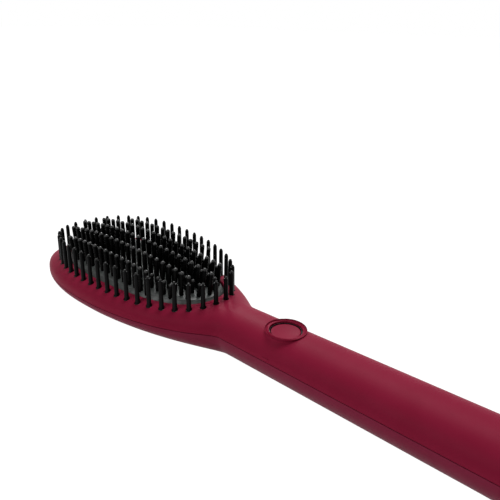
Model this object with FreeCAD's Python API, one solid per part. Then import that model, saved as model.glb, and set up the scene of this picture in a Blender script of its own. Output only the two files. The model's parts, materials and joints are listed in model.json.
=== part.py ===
"""Heated styling brush: a two-part casing with an oval head, a heater plate full of pins, a ring of cool
bristles, a power button on the neck and a swivel gland for the cord at the end of the handle.

Sizes are in millimetres. The drawing frame has its origin on the parting plane of the casing, under the widest
point of the head: +X runs along the handle, +Z points the way the pins stand. The finished pieces are moved so
that the origin is under the middle of the whole brush, on the surface that it lies on.
"""
import FreeCAD, Part
import math
import os

from FreeCAD import Rotation, Vector

# Plan of the casing, seen from above
HEAD_HALF_WIDTH = 33.7
HEAD_TIP_REACH = 57.0
HEAD_NECK_REACH = 76.4
PLAN_POWER = 2.2
NECK_PLAN_POWER = 1.97
HANDLE_HALF_WIDTH = 11.5
HANDLE_FLARE = 3.0
HANDLE_REACH = 220.0
NECK_BLEND_POWER = 4.0

# Height of the casing above and below the parting plane
HEAD_CROWN = 9.3
HANDLE_CROWN = 9.1
CROWN_FLARE = 1.2
HEAD_EDGE_POWER = 3.4
TIP_CROWN_POWER = 2.4
HANDLE_EDGE_POWER = 2.1
REAR_DEPTH = 13.6
REAR_FLARE = 1.4
REAR_POWER = 1.85
REAR_TIP_POWER = 2.4
REST_DEPTH = 12.0
NECK_START = 12.0
NECK_END = 78.0
END_ROUND = 12.0
END_DROP = 0.34
WALL = 2.2
END_WALL = 3.0

# Ring of cool bristles
RING_INSET = 5.3
RING_TIP_INSET = 9.5
RING_NECK_INSET = 11.3
BRISTLE_COUNT = 44
BRISTLE_TOP = 22.3
BRISTLE_TIP_DROP = 3.1
BRISTLE_NECK_DROP = 2.0
BRISTLE_BASE_RADIUS = 1.1
BRISTLE_TOP_RADIUS = 0.95
BRISTLE_NUB_RADIUS = 0.75
BRISTLE_NUB_HEIGHT = 1.1
FOOT_RADIUS = 1.4
FOOT_STAND = -0.4
FOOT_GAP = 0.12
RETAINER_HALF_WIDTH = 1.8
RETAINER_THICKNESS = 1.2

# Heater plate and its pins
PLATE_MARGIN = 4.2
PLATE_TIP_MARGIN = 4.2
PLATE_NECK_MARGIN = 4.1
PLATE_PEAK = 12.0
PLATE_PEAK_X = 5.0
PLATE_BOTTOM = 6.0
PLATE_LONG_RADIUS = 600.0
PLATE_CROSS_RADIUS = 100.0
PLATE_BEVEL = 1.6
PLATE_BEVEL_DROP = 2.2
WINDOW_GAP = 0.4
PIN_PITCH = 4.3
PIN_ROW_PITCH = 9.5
PIN_GRID_START = 1.4
PIN_ROWS_EACH_SIDE = 2
PIN_MARGIN = 1.3
PIN_RADIUS = 1.05
PIN_TOP = 24.8
PIN_TIP_DROP = 4.7
PIN_NECK_DROP = 3.7
PIN_SIDE_DROP = 1.9
PIN_FAN = 0.0024
PIN_SEAT_DEPTH = 3.0
PIN_GAP = 0.05
SHORT_PIN_DROP = 5.0
SHORT_PIN_RADIUS = 0.95

# Frame and heating stack under the plate
COLLAR_WALL = 1.4
COLLAR_BOTTOM = 4.0
FRAME_FLANGE = 1.5
FRAME_SIDE_GAP = 0.3
FRAME_WIDTH = 4.5
STONE_LENGTH = 26.0
STONE_WIDTH = 10.0
STONE_THICKNESS = 1.8
STONE_SPACING = 3.0
STONE_START = -26.0
ELECTRODE_THICKNESS = 0.2
ELECTRODE_TAB = 5.0
ELECTRODE_TAB_WIDTH = 4.0
SLEEVE_FILM = 0.2
SLEEVE_SIDE_GAP = 0.1
CLAMP_THICKNESS = 1.4
CLAMP_SCREW_Y = 8.5
CLAMP_SCREW_INSET = 10.0
CLAMP_SCREW_RADIUS = 1.1
CLAMP_SCREW_GRIP = 1.8
FRAME_POST_RADIUS = 2.0
FRAME_POST_SHOULDER = 1.0
FRAME_POST_ANGLE = 38.0
SHIELD_THICKNESS = 0.4
SHIELD_TOP = -4.0
SHIELD_INSET = 1.0
THERMISTOR_LENGTH = 4.0
THERMISTOR_WIDTH = 2.4
THERMISTOR_HEIGHT = 1.6
THERMISTOR_X = 36.0
THERMISTOR_Y = -11.0
FUSE_RADIUS = 1.2
FUSE_LENGTH = 11.0

# Wiring
HEATER_LEAD_RADIUS = 0.8
SENSOR_LEAD_RADIUS = 0.5
LEAD_LOW = -1.8
LEAD_HIGH = 0.6
LEAD_ROOM = 1.2
HEATER_LEAD_Y = 4.9
SENSOR_LEAD_Y = 6.95
SENSOR_LEAD_PITCH = 1.1
LEAD_BEND_SHARE = 0.45

# Power button, its light ring and its switch
BUTTON_X = 102.3
BUTTON_RADIUS = 6.2
BUTTON_TOP = 8.65
BUTTON_TRAVEL = 0.6
BUTTON_DISH = 0.5
BUTTON_FLANGE = 1.1
BUTTON_FLANGE_THICKNESS = 1.0
BUTTON_GAP = 0.3
LIGHT_RING_WALL = 0.45
LIGHT_RING_TOP = 8.85
LIGHT_RING_FLANGE = 0.7
LIGHT_RING_FLANGE_THICKNESS = 1.2
WELL_GAP = 0.05
COLLAR_RADIUS = 7.5
COLLAR_SPREAD = 2.9
COLLAR_TOP = 9.55
COLLAR_DEPTH = 4.75
COLLAR_ROUND = 0.35
TACT_SIZE = 6.0
TACT_HEIGHT = 3.0
PLUNGER_RADIUS = 1.7
PLUNGER_WELL_GAP = 0.3
PLUNGER_FOOT = 1.2

# Circuit board in the handle
BOARD_EDGE = 2.0
BOARD_PART_GAP = 2.0
BOARD_HALF_WIDTH = 8.3
BOARD_THICKNESS = 1.6
BOARD_TOP = -1.4
BOARD_SCREW_Y = 5.9
BOARD_POST_RADIUS = 2.3
BOARD_SCREW_RADIUS = 1.0
BLOCK_LENGTH = 6.0
BLOCK_HALF_WIDTH = 8.0
BLOCK_HEIGHT = 4.0
CHIP_LENGTH = 7.0
CHIP_WIDTH = 5.0
CHIP_HEIGHT = 1.4
FILM_CAP_LENGTH = 12.0
FILM_CAP_WIDTH = 7.0
FILM_CAP_HEIGHT = 6.0
TRIAC_LENGTH = 10.0
TRIAC_WIDTH = 9.0
TRIAC_HEIGHT = 4.4
SMOOTHING_CAP_LENGTH = 10.5
SMOOTHING_CAP_RADIUS = 3.2
SMOOTHING_CAP_FOOT = 1.0
LIGHT_SIZE = 1.6
LIGHT_HEIGHT = 0.7
LIGHT_OFFSET = 5.2

# Screws that join the casing, and the cord clamp
SCREW_HEAD_RATIO = 1.8
SCREW_HEAD_HEIGHT = 1.3
SCREW_GAP = 0.1
CASE_SCREW_PLACES = (76.0, 186.0)
CASE_SCREW_RADIUS = 1.25
CASE_POST_RADIUS = 3.0
CASE_SCREW_SINK = 4.0
CASE_SCREW_GRIP = 5.0
CORD_CLAMP_X = 199.0
CORD_CLAMP_LENGTH = 6.0
CORD_CLAMP_Y = 7.6
CORD_CLAMP_EAR = 2.0
CORD_CLAMP_ARCH = 1.9
CORD_CLAMP_POST_RADIUS = 2.2
CORD_CLAMP_SCREW_RADIUS = 1.0
CORD_CLAMP_SCREW_GRIP = 5.0

# Swivel gland at the end of the handle
CORD_RADIUS = 3.2
CORD_GAP = 0.2
GLAND_NECK_RADIUS = 5.1
GLAND_RUNNING_GAP = 0.08
GLAND_FLANGE_RADIUS = 6.3
GLAND_FLANGE_LENGTH = 2.6
GLAND_END_GAP = 0.3
GLAND_SLEEVE_LENGTH = 12.0
GLAND_SLEEVE_RADIUS = 6.2
GLAND_TIP_RADIUS = 4.6

# How finely the curved shapes are drawn
TIP_END_ANGLE = 86.0
TIP_STATIONS = 11
NECK_STATIONS = 9
HANDLE_STATIONS = 7
END_STATIONS = 4
SECTION_POINTS = 25
SECTION_SAMPLES = 240
OVAL_POINTS = 48
FAR = 60.0

# Sizes worked out from the ones above
RING_HALF_WIDTH = HEAD_HALF_WIDTH - RING_INSET
RING_TIP_REACH = HEAD_TIP_REACH - RING_TIP_INSET
RING_NECK_REACH = HEAD_NECK_REACH - RING_NECK_INSET
PLATE_HALF_WIDTH = RING_HALF_WIDTH - PLATE_MARGIN
PLATE_TIP_REACH = RING_TIP_REACH - PLATE_TIP_MARGIN
PLATE_NECK_REACH = RING_NECK_REACH - PLATE_NECK_MARGIN
FRAME_BOTTOM = COLLAR_BOTTOM - FRAME_FLANGE
SLEEVE_BOTTOM = PLATE_BOTTOM - STONE_THICKNESS - 2 * ELECTRODE_THICKNESS - 2 * SLEEVE_FILM
STACK_LENGTH = 2 * STONE_LENGTH + STONE_SPACING
STACK_END = STONE_START + STACK_LENGTH
SLEEVE_HALF_WIDTH = STONE_WIDTH / 2 + SLEEVE_SIDE_GAP + SLEEVE_FILM
BOARD_BOTTOM = BOARD_TOP - BOARD_THICKNESS
FRONT_SCREW_X = BUTTON_X - TACT_SIZE / 2 - BOARD_POST_RADIUS
FRONT_BLOCK_X = FRONT_SCREW_X - BOARD_POST_RADIUS - BOARD_PART_GAP - BLOCK_LENGTH
BOARD_START = FRONT_BLOCK_X - BOARD_EDGE
CHIP_X = BUTTON_X + TACT_SIZE / 2 + 3 * BOARD_PART_GAP
FILM_CAP_X = CHIP_X + CHIP_LENGTH + BOARD_PART_GAP
TRIAC_X = FILM_CAP_X + FILM_CAP_LENGTH + BOARD_PART_GAP
SMOOTHING_CAP_X = TRIAC_X + TRIAC_LENGTH + BOARD_PART_GAP
REAR_BLOCK_X = SMOOTHING_CAP_X + SMOOTHING_CAP_LENGTH + BOARD_PART_GAP
REAR_SCREW_X = REAR_BLOCK_X + BLOCK_LENGTH + BOARD_PART_GAP + BOARD_POST_RADIUS
BOARD_END = REAR_SCREW_X + BOARD_POST_RADIUS + BOARD_EDGE
LIGHT_RING_INNER = BUTTON_RADIUS + BUTTON_GAP
LIGHT_RING_OUTER = LIGHT_RING_INNER + LIGHT_RING_WALL
WELL_RADIUS = LIGHT_RING_OUTER + WELL_GAP
COLLAR_UNDERSIDE = COLLAR_TOP - COLLAR_DEPTH
LIGHT_RING_BOTTOM = COLLAR_UNDERSIDE - LIGHT_RING_FLANGE_THICKNESS
BUTTON_FLANGE_TOP = LIGHT_RING_BOTTOM
BUTTON_BOTTOM = BUTTON_FLANGE_TOP - BUTTON_FLANGE_THICKNESS
TACT_TOP = BOARD_TOP + TACT_HEIGHT
GLAND_END = HANDLE_REACH + GLAND_END_GAP + GLAND_SLEEVE_LENGTH
CORD_HOLE_RADIUS = CORD_RADIUS + CORD_GAP
GLAND_HOLE_RADIUS = GLAND_NECK_RADIUS + GLAND_RUNNING_GAP
SHOULDER_TOP = SHIELD_TOP - SHIELD_THICKNESS
TIP_X = -HEAD_TIP_REACH * math.sin(math.radians(TIP_END_ANGLE))
ORIGIN_SHIFT = Vector(-(GLAND_END + TIP_X) / 2, 0, REST_DEPTH)
UP = Vector(0, 0, 1)
ALONG = Vector(1, 0, 0)


def falloff(share, power):
    """Height of a superellipse of unit size at this share of its half-width."""
    return max(0.0, 1 - abs(share) ** power) ** (1 / power)


def ease(x, start, end):
    """0 before start, 1 after end, with a smooth run between."""
    share = min(1.0, max(0.0, (x - start) / (end - start)))
    return share * share * (3 - 2 * share)


def end_round(x):
    """How far the section has shrunk near the end of the handle."""
    share = max(0.0, (x - HANDLE_REACH + END_ROUND) / END_ROUND)
    return 1 - END_DROP * min(1.0, share) ** 3


def plan_half_width(x, inset):
    """Half-width of the casing at the parting plane, less an inset."""
    if x < 0:
        return (HEAD_HALF_WIDTH - inset) * falloff(x / (HEAD_TIP_REACH - inset), PLAN_POWER)
    head = (HEAD_HALF_WIDTH - inset) * falloff(min(1.0, x / HEAD_NECK_REACH), NECK_PLAN_POWER)
    handle = HANDLE_HALF_WIDTH + HANDLE_FLARE * x / HANDLE_REACH - inset
    share = handle * ease(x, 0, NECK_START)
    joined = (head ** NECK_BLEND_POWER + share ** NECK_BLEND_POWER) ** (1 / NECK_BLEND_POWER)
    return joined * end_round(x)


def handle_share(x):
    """How far along the handle a place is, from 0 at the neck to 1 at the end."""
    return max(0.0, (x - NECK_END) / (HANDLE_REACH - NECK_END))


def crown_height(x, inset):
    """Height of the front casing on its centre line, less an inset."""
    crown = HEAD_CROWN + (HANDLE_CROWN - HEAD_CROWN) * ease(x, NECK_START, NECK_END) - inset
    if x < 0:
        return crown * falloff(x / (HEAD_TIP_REACH - inset), TIP_CROWN_POWER)
    return (crown + CROWN_FLARE * handle_share(x)) * end_round(x)


def edge_power(x):
    """How square the front casing's section is: fuller on the head than on the handle."""
    return HEAD_EDGE_POWER + (HANDLE_EDGE_POWER - HEAD_EDGE_POWER) * ease(x, NECK_START, NECK_END)


def rear_depth(x, inset):
    """Depth of the rear casing on its centre line before it is cut flat, less an inset."""
    depth = REAR_DEPTH - inset
    if x < 0:
        return depth * falloff(x / (HEAD_TIP_REACH - inset), REAR_TIP_POWER)
    return (depth + REAR_FLARE * handle_share(x)) * end_round(x)


def front_surface(x, y):
    """Height of the front casing's outside at a place in plan."""
    return crown_height(x, 0) * falloff(y / plan_half_width(x, 0), edge_power(x))


def section_row(x, half_width, height, power):
    """Evenly spaced points over one half section of the casing, from one parting edge to the other."""
    dense = []
    for step in range(SECTION_SAMPLES + 1):
        angle = math.pi * step / SECTION_SAMPLES
        cosine = math.cos(angle)
        reach = math.copysign(abs(cosine) ** (2 / power), cosine)
        rise = abs(math.sin(angle)) ** (2 / power)
        dense.append(Vector(x, -half_width * reach, height * rise))
    dense[0].z = 0.0
    dense[-1].z = 0.0
    return spaced_along(dense, SECTION_POINTS)


def spaced_along(points, count):
    """Pick points at even distances along a dense line of points, with both its ends."""
    lengths = [0.0]
    for first, second in zip(points, points[1:]):
        lengths.append(lengths[-1] + first.distanceToPoint(second))
    picked = [points[0]]
    index = 0
    for step in range(1, count - 1):
        target = lengths[-1] * step / (count - 1)
        while lengths[index + 1] < target:
            index += 1
        share = (target - lengths[index]) / (lengths[index + 1] - lengths[index])
        picked.append(points[index] + (points[index + 1] - points[index]) * share)
    return picked + [points[-1]]


def casing_stations(inset, end):
    """Places along the brush where its section is drawn, closest together at the tip."""
    tip_reach = HEAD_TIP_REACH - inset
    stations = []
    for step in range(TIP_STATIONS):
        angle = math.radians(TIP_END_ANGLE * (1 - step / TIP_STATIONS))
        stations.append(-tip_reach * math.sin(angle))
    for step in range(NECK_STATIONS):
        stations.append(HEAD_NECK_REACH * math.sin(math.pi / 2 * step / NECK_STATIONS))
    round_start = HANDLE_REACH - END_ROUND
    handle_run = round_start - HEAD_NECK_REACH
    for step in range(HANDLE_STATIONS):
        stations.append(HEAD_NECK_REACH + handle_run * step / HANDLE_STATIONS)
    for step in range(END_STATIONS + 1):
        stations.append(round_start + (end - round_start) * step / END_STATIONS)
    return stations


def half_casing(inset, end, front):
    """Solid half of the brush's shape, above or below the parting plane, less an inset."""
    grid = []
    for x in casing_stations(inset, end):
        half_width = plan_half_width(x, inset)
        if front:
            grid.append(section_row(x, half_width, crown_height(x, inset), edge_power(x)))
        else:
            grid.append(section_row(x, half_width, -rear_depth(x, inset), REAR_POWER))
    surface = Part.BSplineSurface()
    surface.interpolate(grid)
    u_start, u_end, v_start, v_end = surface.bounds()
    tip_section = surface.uIso(u_start).toShape()
    end_section = surface.uIso(u_end).toShape()
    near_edge = surface.vIso(v_start).toShape()
    far_edge = surface.vIso(v_end).toShape()
    tip_chord = Part.makeLine(grid[0][0], grid[0][-1])
    end_chord = Part.makeLine(grid[-1][0], grid[-1][-1])
    faces = [
        surface.toShape(),
        Part.Face(Part.Wire([tip_section, tip_chord])),
        Part.Face(Part.Wire([end_section, end_chord])),
        Part.Face(Part.Wire([near_edge, end_chord, far_edge, tip_chord])),
    ]
    shell = Part.makeShell(faces)
    shell.sewShape()
    solid = Part.makeSolid(shell)
    if solid.Volume < 0:
        solid.reverse()
    return solid


def rear_block(inset):
    """Solid of the rear casing's shape, cut flat at the back, less an inset."""
    solid = half_casing(inset, HANDLE_REACH - (END_WALL if inset else 0), False)
    floor = REST_DEPTH - inset
    slab = block(-FAR - HEAD_TIP_REACH, GLAND_END + FAR, FAR, -floor - FAR, -floor)
    return solid.cut(slab)


def front_block(inset):
    """Solid of the front casing's shape, less an inset."""
    return half_casing(inset, HANDLE_REACH - (END_WALL if inset else 0), True)


def oval_point(half_width, tip_reach, neck_reach, angle):
    """Point of the head's egg-shaped oval at an angle, 0 towards the handle."""
    cosine, sine = math.cos(angle), math.sin(angle)
    reach = neck_reach if cosine > 0 else tip_reach
    x = math.copysign(abs(cosine) ** (2 / PLAN_POWER), cosine) * reach
    y = math.copysign(abs(sine) ** (2 / PLAN_POWER), sine) * half_width
    return Vector(x, y, 0)


def plate_oval(inset):
    """Half-width and reaches of the heater plate's oval, less an inset."""
    return PLATE_HALF_WIDTH - inset, PLATE_TIP_REACH - inset, PLATE_NECK_REACH - inset


def ring_oval(inset):
    """Half-width and reaches of the oval that the cool bristles stand on, less an inset."""
    return RING_HALF_WIDTH - inset, RING_TIP_REACH - inset, RING_NECK_REACH - inset


def oval_wire(oval, height):
    """Closed smooth curve of an oval at a height."""
    dense = [oval_point(*oval, 2 * math.pi * step / SECTION_SAMPLES) for step in range(SECTION_SAMPLES + 1)]
    dense[-1] = dense[0]
    points = spaced_along(dense, OVAL_POINTS + 1)[:-1]
    curve = Part.BSplineCurve()
    curve.interpolate([point + UP * height for point in points], PeriodicFlag=True)
    return Part.Wire(curve.toShape())


def oval_slab(oval, bottom, top):
    """Upright solid of an oval."""
    return Part.Face(oval_wire(oval, bottom)).extrude(UP * (top - bottom))


def oval_ring(outer, inner, bottom, top):
    """Upright ring between two ovals."""
    return oval_slab(outer, bottom, top).cut(oval_slab(inner, bottom, top))


def block(x_low, x_high, half_width, bottom, top):
    """Box centred on the brush's middle plane."""
    corner = Vector(x_low, -half_width, bottom)
    return Part.makeBox(x_high - x_low, 2 * half_width, top - bottom, corner)


def box_at(x, y, length, width, bottom, height):
    """Box centred in plan at a place."""
    return Part.makeBox(length, width, height, Vector(x - length / 2, y - width / 2, bottom))


def post(x, y, radius, bottom, top):
    """Upright cylinder."""
    return Part.makeCylinder(radius, top - bottom, Vector(x, y, bottom))


def barrel(x_low, x_high, radius, height):
    """Cylinder along the brush at a height."""
    return Part.makeCylinder(radius, x_high - x_low, Vector(x_low, 0, height), ALONG)


def turned(points):
    """Solid turned about the Z axis from (radius, height) points."""
    corners = [Vector(radius, 0, height) for radius, height in points]
    outline = Part.makePolygon(corners + [corners[0]])
    return Part.Face(outline).revolve(Vector(0, 0, 0), UP, 360)


def screw(x, y, radius, seat, tip, upward):
    """Pan head screw whose head sits on a face and whose shank runs to its tip."""
    away = -1 if upward else 1
    shank = post(x, y, radius, min(seat, tip), max(seat, tip))
    head_end = seat + away * SCREW_HEAD_HEIGHT
    head = post(x, y, radius * SCREW_HEAD_RATIO, min(seat, head_end), max(seat, head_end))
    return shank.fuse(head).removeSplitter()


def bristle_places():
    """Feet of the cool bristles, evenly spaced round their ring, with none on the middle line."""
    oval = ring_oval(0)
    dense = [oval_point(*oval, 2 * math.pi * step / SECTION_SAMPLES) for step in range(SECTION_SAMPLES + 1)]
    halves = spaced_along(dense, 2 * BRISTLE_COUNT + 1)
    return halves[1::2]


def bristle_top(x):
    """Height of a cool bristle's tip: lower towards the tip and the neck of the head."""
    if x < 0:
        return BRISTLE_TOP - BRISTLE_TIP_DROP * (x / RING_TIP_REACH) ** 2
    return BRISTLE_TOP - BRISTLE_NECK_DROP * (x / RING_NECK_REACH) ** 2


def cool_bristle(place):
    """Tapered bristle with a round foot in the casing and a small rounded nub on top."""
    foot_top = front_surface(place.x, place.y) + FOOT_STAND
    top = bristle_top(place.x)
    nub_start = top - BRISTLE_NUB_HEIGHT
    points = [
        (0, RETAINER_THICKNESS),
        (FOOT_RADIUS, RETAINER_THICKNESS),
        (FOOT_RADIUS, foot_top),
        (BRISTLE_BASE_RADIUS, foot_top),
        (BRISTLE_TOP_RADIUS, nub_start),
        (BRISTLE_NUB_RADIUS, nub_start),
        (BRISTLE_NUB_RADIUS, top - BRISTLE_NUB_RADIUS),
        (0, top - BRISTLE_NUB_RADIUS),
    ]
    bristle = turned(points)
    tip = Part.makeSphere(BRISTLE_NUB_RADIUS, Vector(0, 0, top - BRISTLE_NUB_RADIUS))
    bristle = bristle.fuse(tip).removeSplitter()
    bristle.translate(Vector(place.x, place.y, 0))
    return bristle


def bristle_holes():
    """Round holes that the bristle feet pass through."""
    holes = []
    for place in bristle_places():
        top = front_surface(place.x, place.y) + FAR
        holes.append(post(place.x, place.y, FOOT_RADIUS + FOOT_GAP, RETAINER_THICKNESS, top))
    return holes


def bristle_retainer():
    """Flat ring under the feet of the cool bristles."""
    outer = ring_oval(-RETAINER_HALF_WIDTH)
    inner = ring_oval(RETAINER_HALF_WIDTH)
    return oval_ring(outer, inner, 0, RETAINER_THICKNESS)


def retainer_rib():
    """Rib of the rear casing that carries the bristle retainer."""
    half = RETAINER_HALF_WIDTH / 2
    rib = oval_ring(ring_oval(-half), ring_oval(half), -REST_DEPTH, 0)
    passage = block(0, HEAD_NECK_REACH, SENSOR_LEAD_Y + 2 * LEAD_ROOM, LEAD_LOW - 2 * LEAD_ROOM, 0)
    return rib.cut(passage)


def plate_top(x, y):
    """Height of the domed heater plate at a place in plan."""
    cross = PLATE_CROSS_RADIUS - math.sqrt(PLATE_CROSS_RADIUS ** 2 - y ** 2)
    run = x - PLATE_PEAK_X
    length = PLATE_LONG_RADIUS - math.sqrt(PLATE_LONG_RADIUS ** 2 - run ** 2)
    return PLATE_PEAK - cross - length


def plate_dome():
    """Solid under the plate's top, an arc along the brush turned about an axis far below it."""
    low = -PLATE_TIP_REACH - FAR / 2
    high = PLATE_NECK_REACH + FAR / 2
    floor = PLATE_PEAK - PLATE_CROSS_RADIUS / 2
    first = Vector(low, 0, plate_top(low, 0))
    middle = Vector(PLATE_PEAK_X, 0, PLATE_PEAK)
    last = Vector(high, 0, plate_top(high, 0))
    arc = Part.Arc(first, middle, last).toShape()
    sides = Part.makePolygon([last, Vector(high, 0, floor), Vector(low, 0, floor), first])
    profile = Part.Face(Part.Wire([arc] + sides.Edges))
    axis = Vector(0, 0, PLATE_PEAK - PLATE_CROSS_RADIUS)
    half_turn = math.degrees(math.asin(min(1.0, FAR / PLATE_CROSS_RADIUS)))
    profile.rotate(axis, ALONG, -half_turn)
    return profile.revolve(axis, ALONG, 2 * half_turn)


def plate_blank():
    """Heater plate before its pin holes: an oval with a bevelled rim under the dome."""
    bevel_start = plate_top(0, PLATE_HALF_WIDTH) - PLATE_BEVEL_DROP
    bevel_end = bevel_start + PLATE_BEVEL_DROP
    rim = oval_slab(plate_oval(0), PLATE_BOTTOM, bevel_start)
    bevel = Part.makeLoft([oval_wire(plate_oval(0), bevel_start),
                           oval_wire(plate_oval(PLATE_BEVEL), bevel_end)], True, True)
    cap = oval_slab(plate_oval(PLATE_BEVEL), bevel_end, PLATE_PEAK + 1)
    return rim.fuse([bevel, cap]).common(plate_dome()).removeSplitter()


def inside_plate(x, y):
    """Whether a pin can stand at this place of the plate."""
    half_width, tip_reach, neck_reach = plate_oval(PIN_MARGIN)
    reach = neck_reach if x > 0 else tip_reach
    return abs(x / reach) ** PLAN_POWER + abs(y / half_width) ** PLAN_POWER < 1


def pin_places(row_shift, column_shift):
    """Places of the pins in rows along the head, shifted by shares of the row and pin pitch."""
    places = []
    columns = int((PLATE_TIP_REACH + PLATE_NECK_REACH) / PIN_PITCH) + 1
    for row in range(-PIN_ROWS_EACH_SIDE, PIN_ROWS_EACH_SIDE + 1):
        y = (row + row_shift) * PIN_ROW_PITCH
        for column in range(-columns, columns + 1):
            x = PIN_GRID_START + (column + column_shift) * PIN_PITCH
            if inside_plate(x, y):
                places.append((x, y))
    return places


def long_pin_places():
    """Places of the tall pins."""
    return pin_places(0.0, 0.0)


def short_pin_places():
    """Places of the short pins, half-way between the rows and staggered."""
    outermost = PIN_ROWS_EACH_SIDE * PIN_ROW_PITCH
    return [(x, y) for x, y in pin_places(0.5, 0.5) if abs(y) < outermost]


def pin_top(x, y):
    """Height of a tall pin's tip over a place of the plate."""
    reach, drop = (PLATE_NECK_REACH, PIN_NECK_DROP) if x > 0 else (PLATE_TIP_REACH, PIN_TIP_DROP)
    side = y / (PIN_ROWS_EACH_SIDE * PIN_ROW_PITCH)
    return PIN_TOP - drop * (x / reach) ** 2 - PIN_SIDE_DROP * side ** 2


def stand_on_plate(shape, x, y):
    """Put a piece drawn on the Z axis into the plate, fanned out a little from the plate's middle."""
    seat = Vector(x, y, plate_top(x, y) - PIN_SEAT_DEPTH)
    lean = Vector((x - PLATE_PEAK_X) * PIN_FAN, y * PIN_FAN, 1)
    shape.Placement = FreeCAD.Placement(seat, Rotation(UP, lean))
    return shape


def heated_pin(x, y, radius, top):
    """Straight pin with a round tip, seated in the plate."""
    length = top - plate_top(x, y) + PIN_SEAT_DEPTH
    shaft = Part.makeCylinder(radius, length - radius)
    tip = Part.makeSphere(radius, Vector(0, 0, length - radius))
    return stand_on_plate(shaft.fuse(tip).removeSplitter(), x, y)


def long_pins():
    """Tall pins in their rows."""
    return Part.makeCompound([heated_pin(x, y, PIN_RADIUS, pin_top(x, y)) for x, y in long_pin_places()])


def short_pins():
    """Short pins between the rows."""
    pins = []
    for x, y in short_pin_places():
        pins.append(heated_pin(x, y, SHORT_PIN_RADIUS, pin_top(x, y) - SHORT_PIN_DROP))
    return Part.makeCompound(pins)


def pin_holes():
    """Blind holes of the plate that the pins are seated in."""
    holes = []
    for radius, places in ((PIN_RADIUS, long_pin_places()), (SHORT_PIN_RADIUS, short_pin_places())):
        for x, y in places:
            hole = Part.makeCylinder(radius + PIN_GAP, 2 * PIN_SEAT_DEPTH)
            holes.append(stand_on_plate(hole, x, y))
    return holes


def heater_plate():
    """Domed plate with seats for the pins and threads for the clamp screws."""
    threads = [post(x, y, CLAMP_SCREW_RADIUS + SCREW_GAP, PLATE_BOTTOM, PLATE_BOTTOM + CLAMP_SCREW_GRIP)
               for x, y in clamp_screw_places()]
    return plate_blank().cut(pin_holes() + threads)


def heater_frame():
    """Heat-proof frame that carries the plate and bears against the casing's collar wall."""
    inner = plate_oval(FRAME_WIDTH)
    flange = oval_ring(plate_oval(-WINDOW_GAP - COLLAR_WALL), inner, FRAME_BOTTOM, COLLAR_BOTTOM)
    step = oval_ring(plate_oval(FRAME_SIDE_GAP), inner, COLLAR_BOTTOM, PLATE_BOTTOM)
    return flange.fuse(step).removeSplitter()


def stack_box(half_width, bottom, top):
    """Box over the whole length of the heating stack."""
    return block(STONE_START, STACK_END, half_width, bottom, top)


def electrode_strips():
    """Two strips that carry the current, one on each side of the stones, each with a tab for its lead."""
    upper_top = PLATE_BOTTOM - SLEEVE_FILM
    lower_top = SLEEVE_BOTTOM + SLEEVE_FILM + ELECTRODE_THICKNESS
    strips = []
    for top, side in ((upper_top, 1), (lower_top, -1)):
        bottom = top - ELECTRODE_THICKNESS
        strip = stack_box(STONE_WIDTH / 2, bottom, top)
        tab = box_at(STACK_END + ELECTRODE_TAB / 2, side * electrode_tab_y(), ELECTRODE_TAB,
                     ELECTRODE_TAB_WIDTH, bottom, ELECTRODE_THICKNESS)
        strips.append(strip.fuse(tab).removeSplitter())
    return Part.makeCompound(strips)


def electrode_tab_y():
    """Distance of an electrode's tab from the middle line."""
    return (STONE_WIDTH - ELECTRODE_TAB_WIDTH) / 2


def heating_stones():
    """Two flat heating stones between the electrode strips."""
    bottom = SLEEVE_BOTTOM + SLEEVE_FILM + ELECTRODE_THICKNESS
    stones = []
    for index in range(2):
        start = STONE_START + index * (STONE_LENGTH + STONE_SPACING)
        stones.append(block(start, start + STONE_LENGTH, STONE_WIDTH / 2, bottom, bottom + STONE_THICKNESS))
    return Part.makeCompound(stones)


def insulation_sleeve():
    """Thin film sleeve round the stones and strips."""
    outer = stack_box(SLEEVE_HALF_WIDTH, SLEEVE_BOTTOM, PLATE_BOTTOM)
    inner = stack_box(SLEEVE_HALF_WIDTH - SLEEVE_FILM, SLEEVE_BOTTOM + SLEEVE_FILM, PLATE_BOTTOM - SLEEVE_FILM)
    return outer.cut(inner)


def pressure_pad():
    """Soft pad that presses the stack against the plate."""
    return stack_box(SLEEVE_HALF_WIDTH, FRAME_BOTTOM, SLEEVE_BOTTOM)


def clamp_screw_places():
    """Places of the screws that pull the clamp bridge towards the plate."""
    return [(x, side * CLAMP_SCREW_Y)
            for x in (STONE_START + CLAMP_SCREW_INSET, STACK_END - CLAMP_SCREW_INSET)
            for side in (-1, 1)]


def clamp_bridge():
    """Plate across the frame that holds the heating stack up and the frame against the plate."""
    half_width = PLATE_HALF_WIDTH - FRAME_WIDTH / 2
    bridge = stack_box(half_width, FRAME_BOTTOM - CLAMP_THICKNESS, FRAME_BOTTOM)
    holes = [post(x, y, CLAMP_SCREW_RADIUS + SCREW_GAP, FRAME_BOTTOM - CLAMP_THICKNESS, FRAME_BOTTOM)
             for x, y in clamp_screw_places()]
    return bridge.cut(holes)


def clamp_screws():
    """Screws from the clamp bridge into the plate."""
    seat = FRAME_BOTTOM - CLAMP_THICKNESS
    tip = PLATE_BOTTOM + CLAMP_SCREW_GRIP - SCREW_GAP
    return Part.makeCompound([screw(x, y, CLAMP_SCREW_RADIUS, seat, tip, True)
                              for x, y in clamp_screw_places()])


def frame_post_places():
    """Places of the rear casing's posts that push the frame up."""
    oval = plate_oval(FRAME_WIDTH / 2)
    angles = (FRAME_POST_ANGLE, 180 - FRAME_POST_ANGLE, 180 + FRAME_POST_ANGLE, 360 - FRAME_POST_ANGLE)
    return [oval_point(*oval, math.radians(angle)) for angle in angles]


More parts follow.
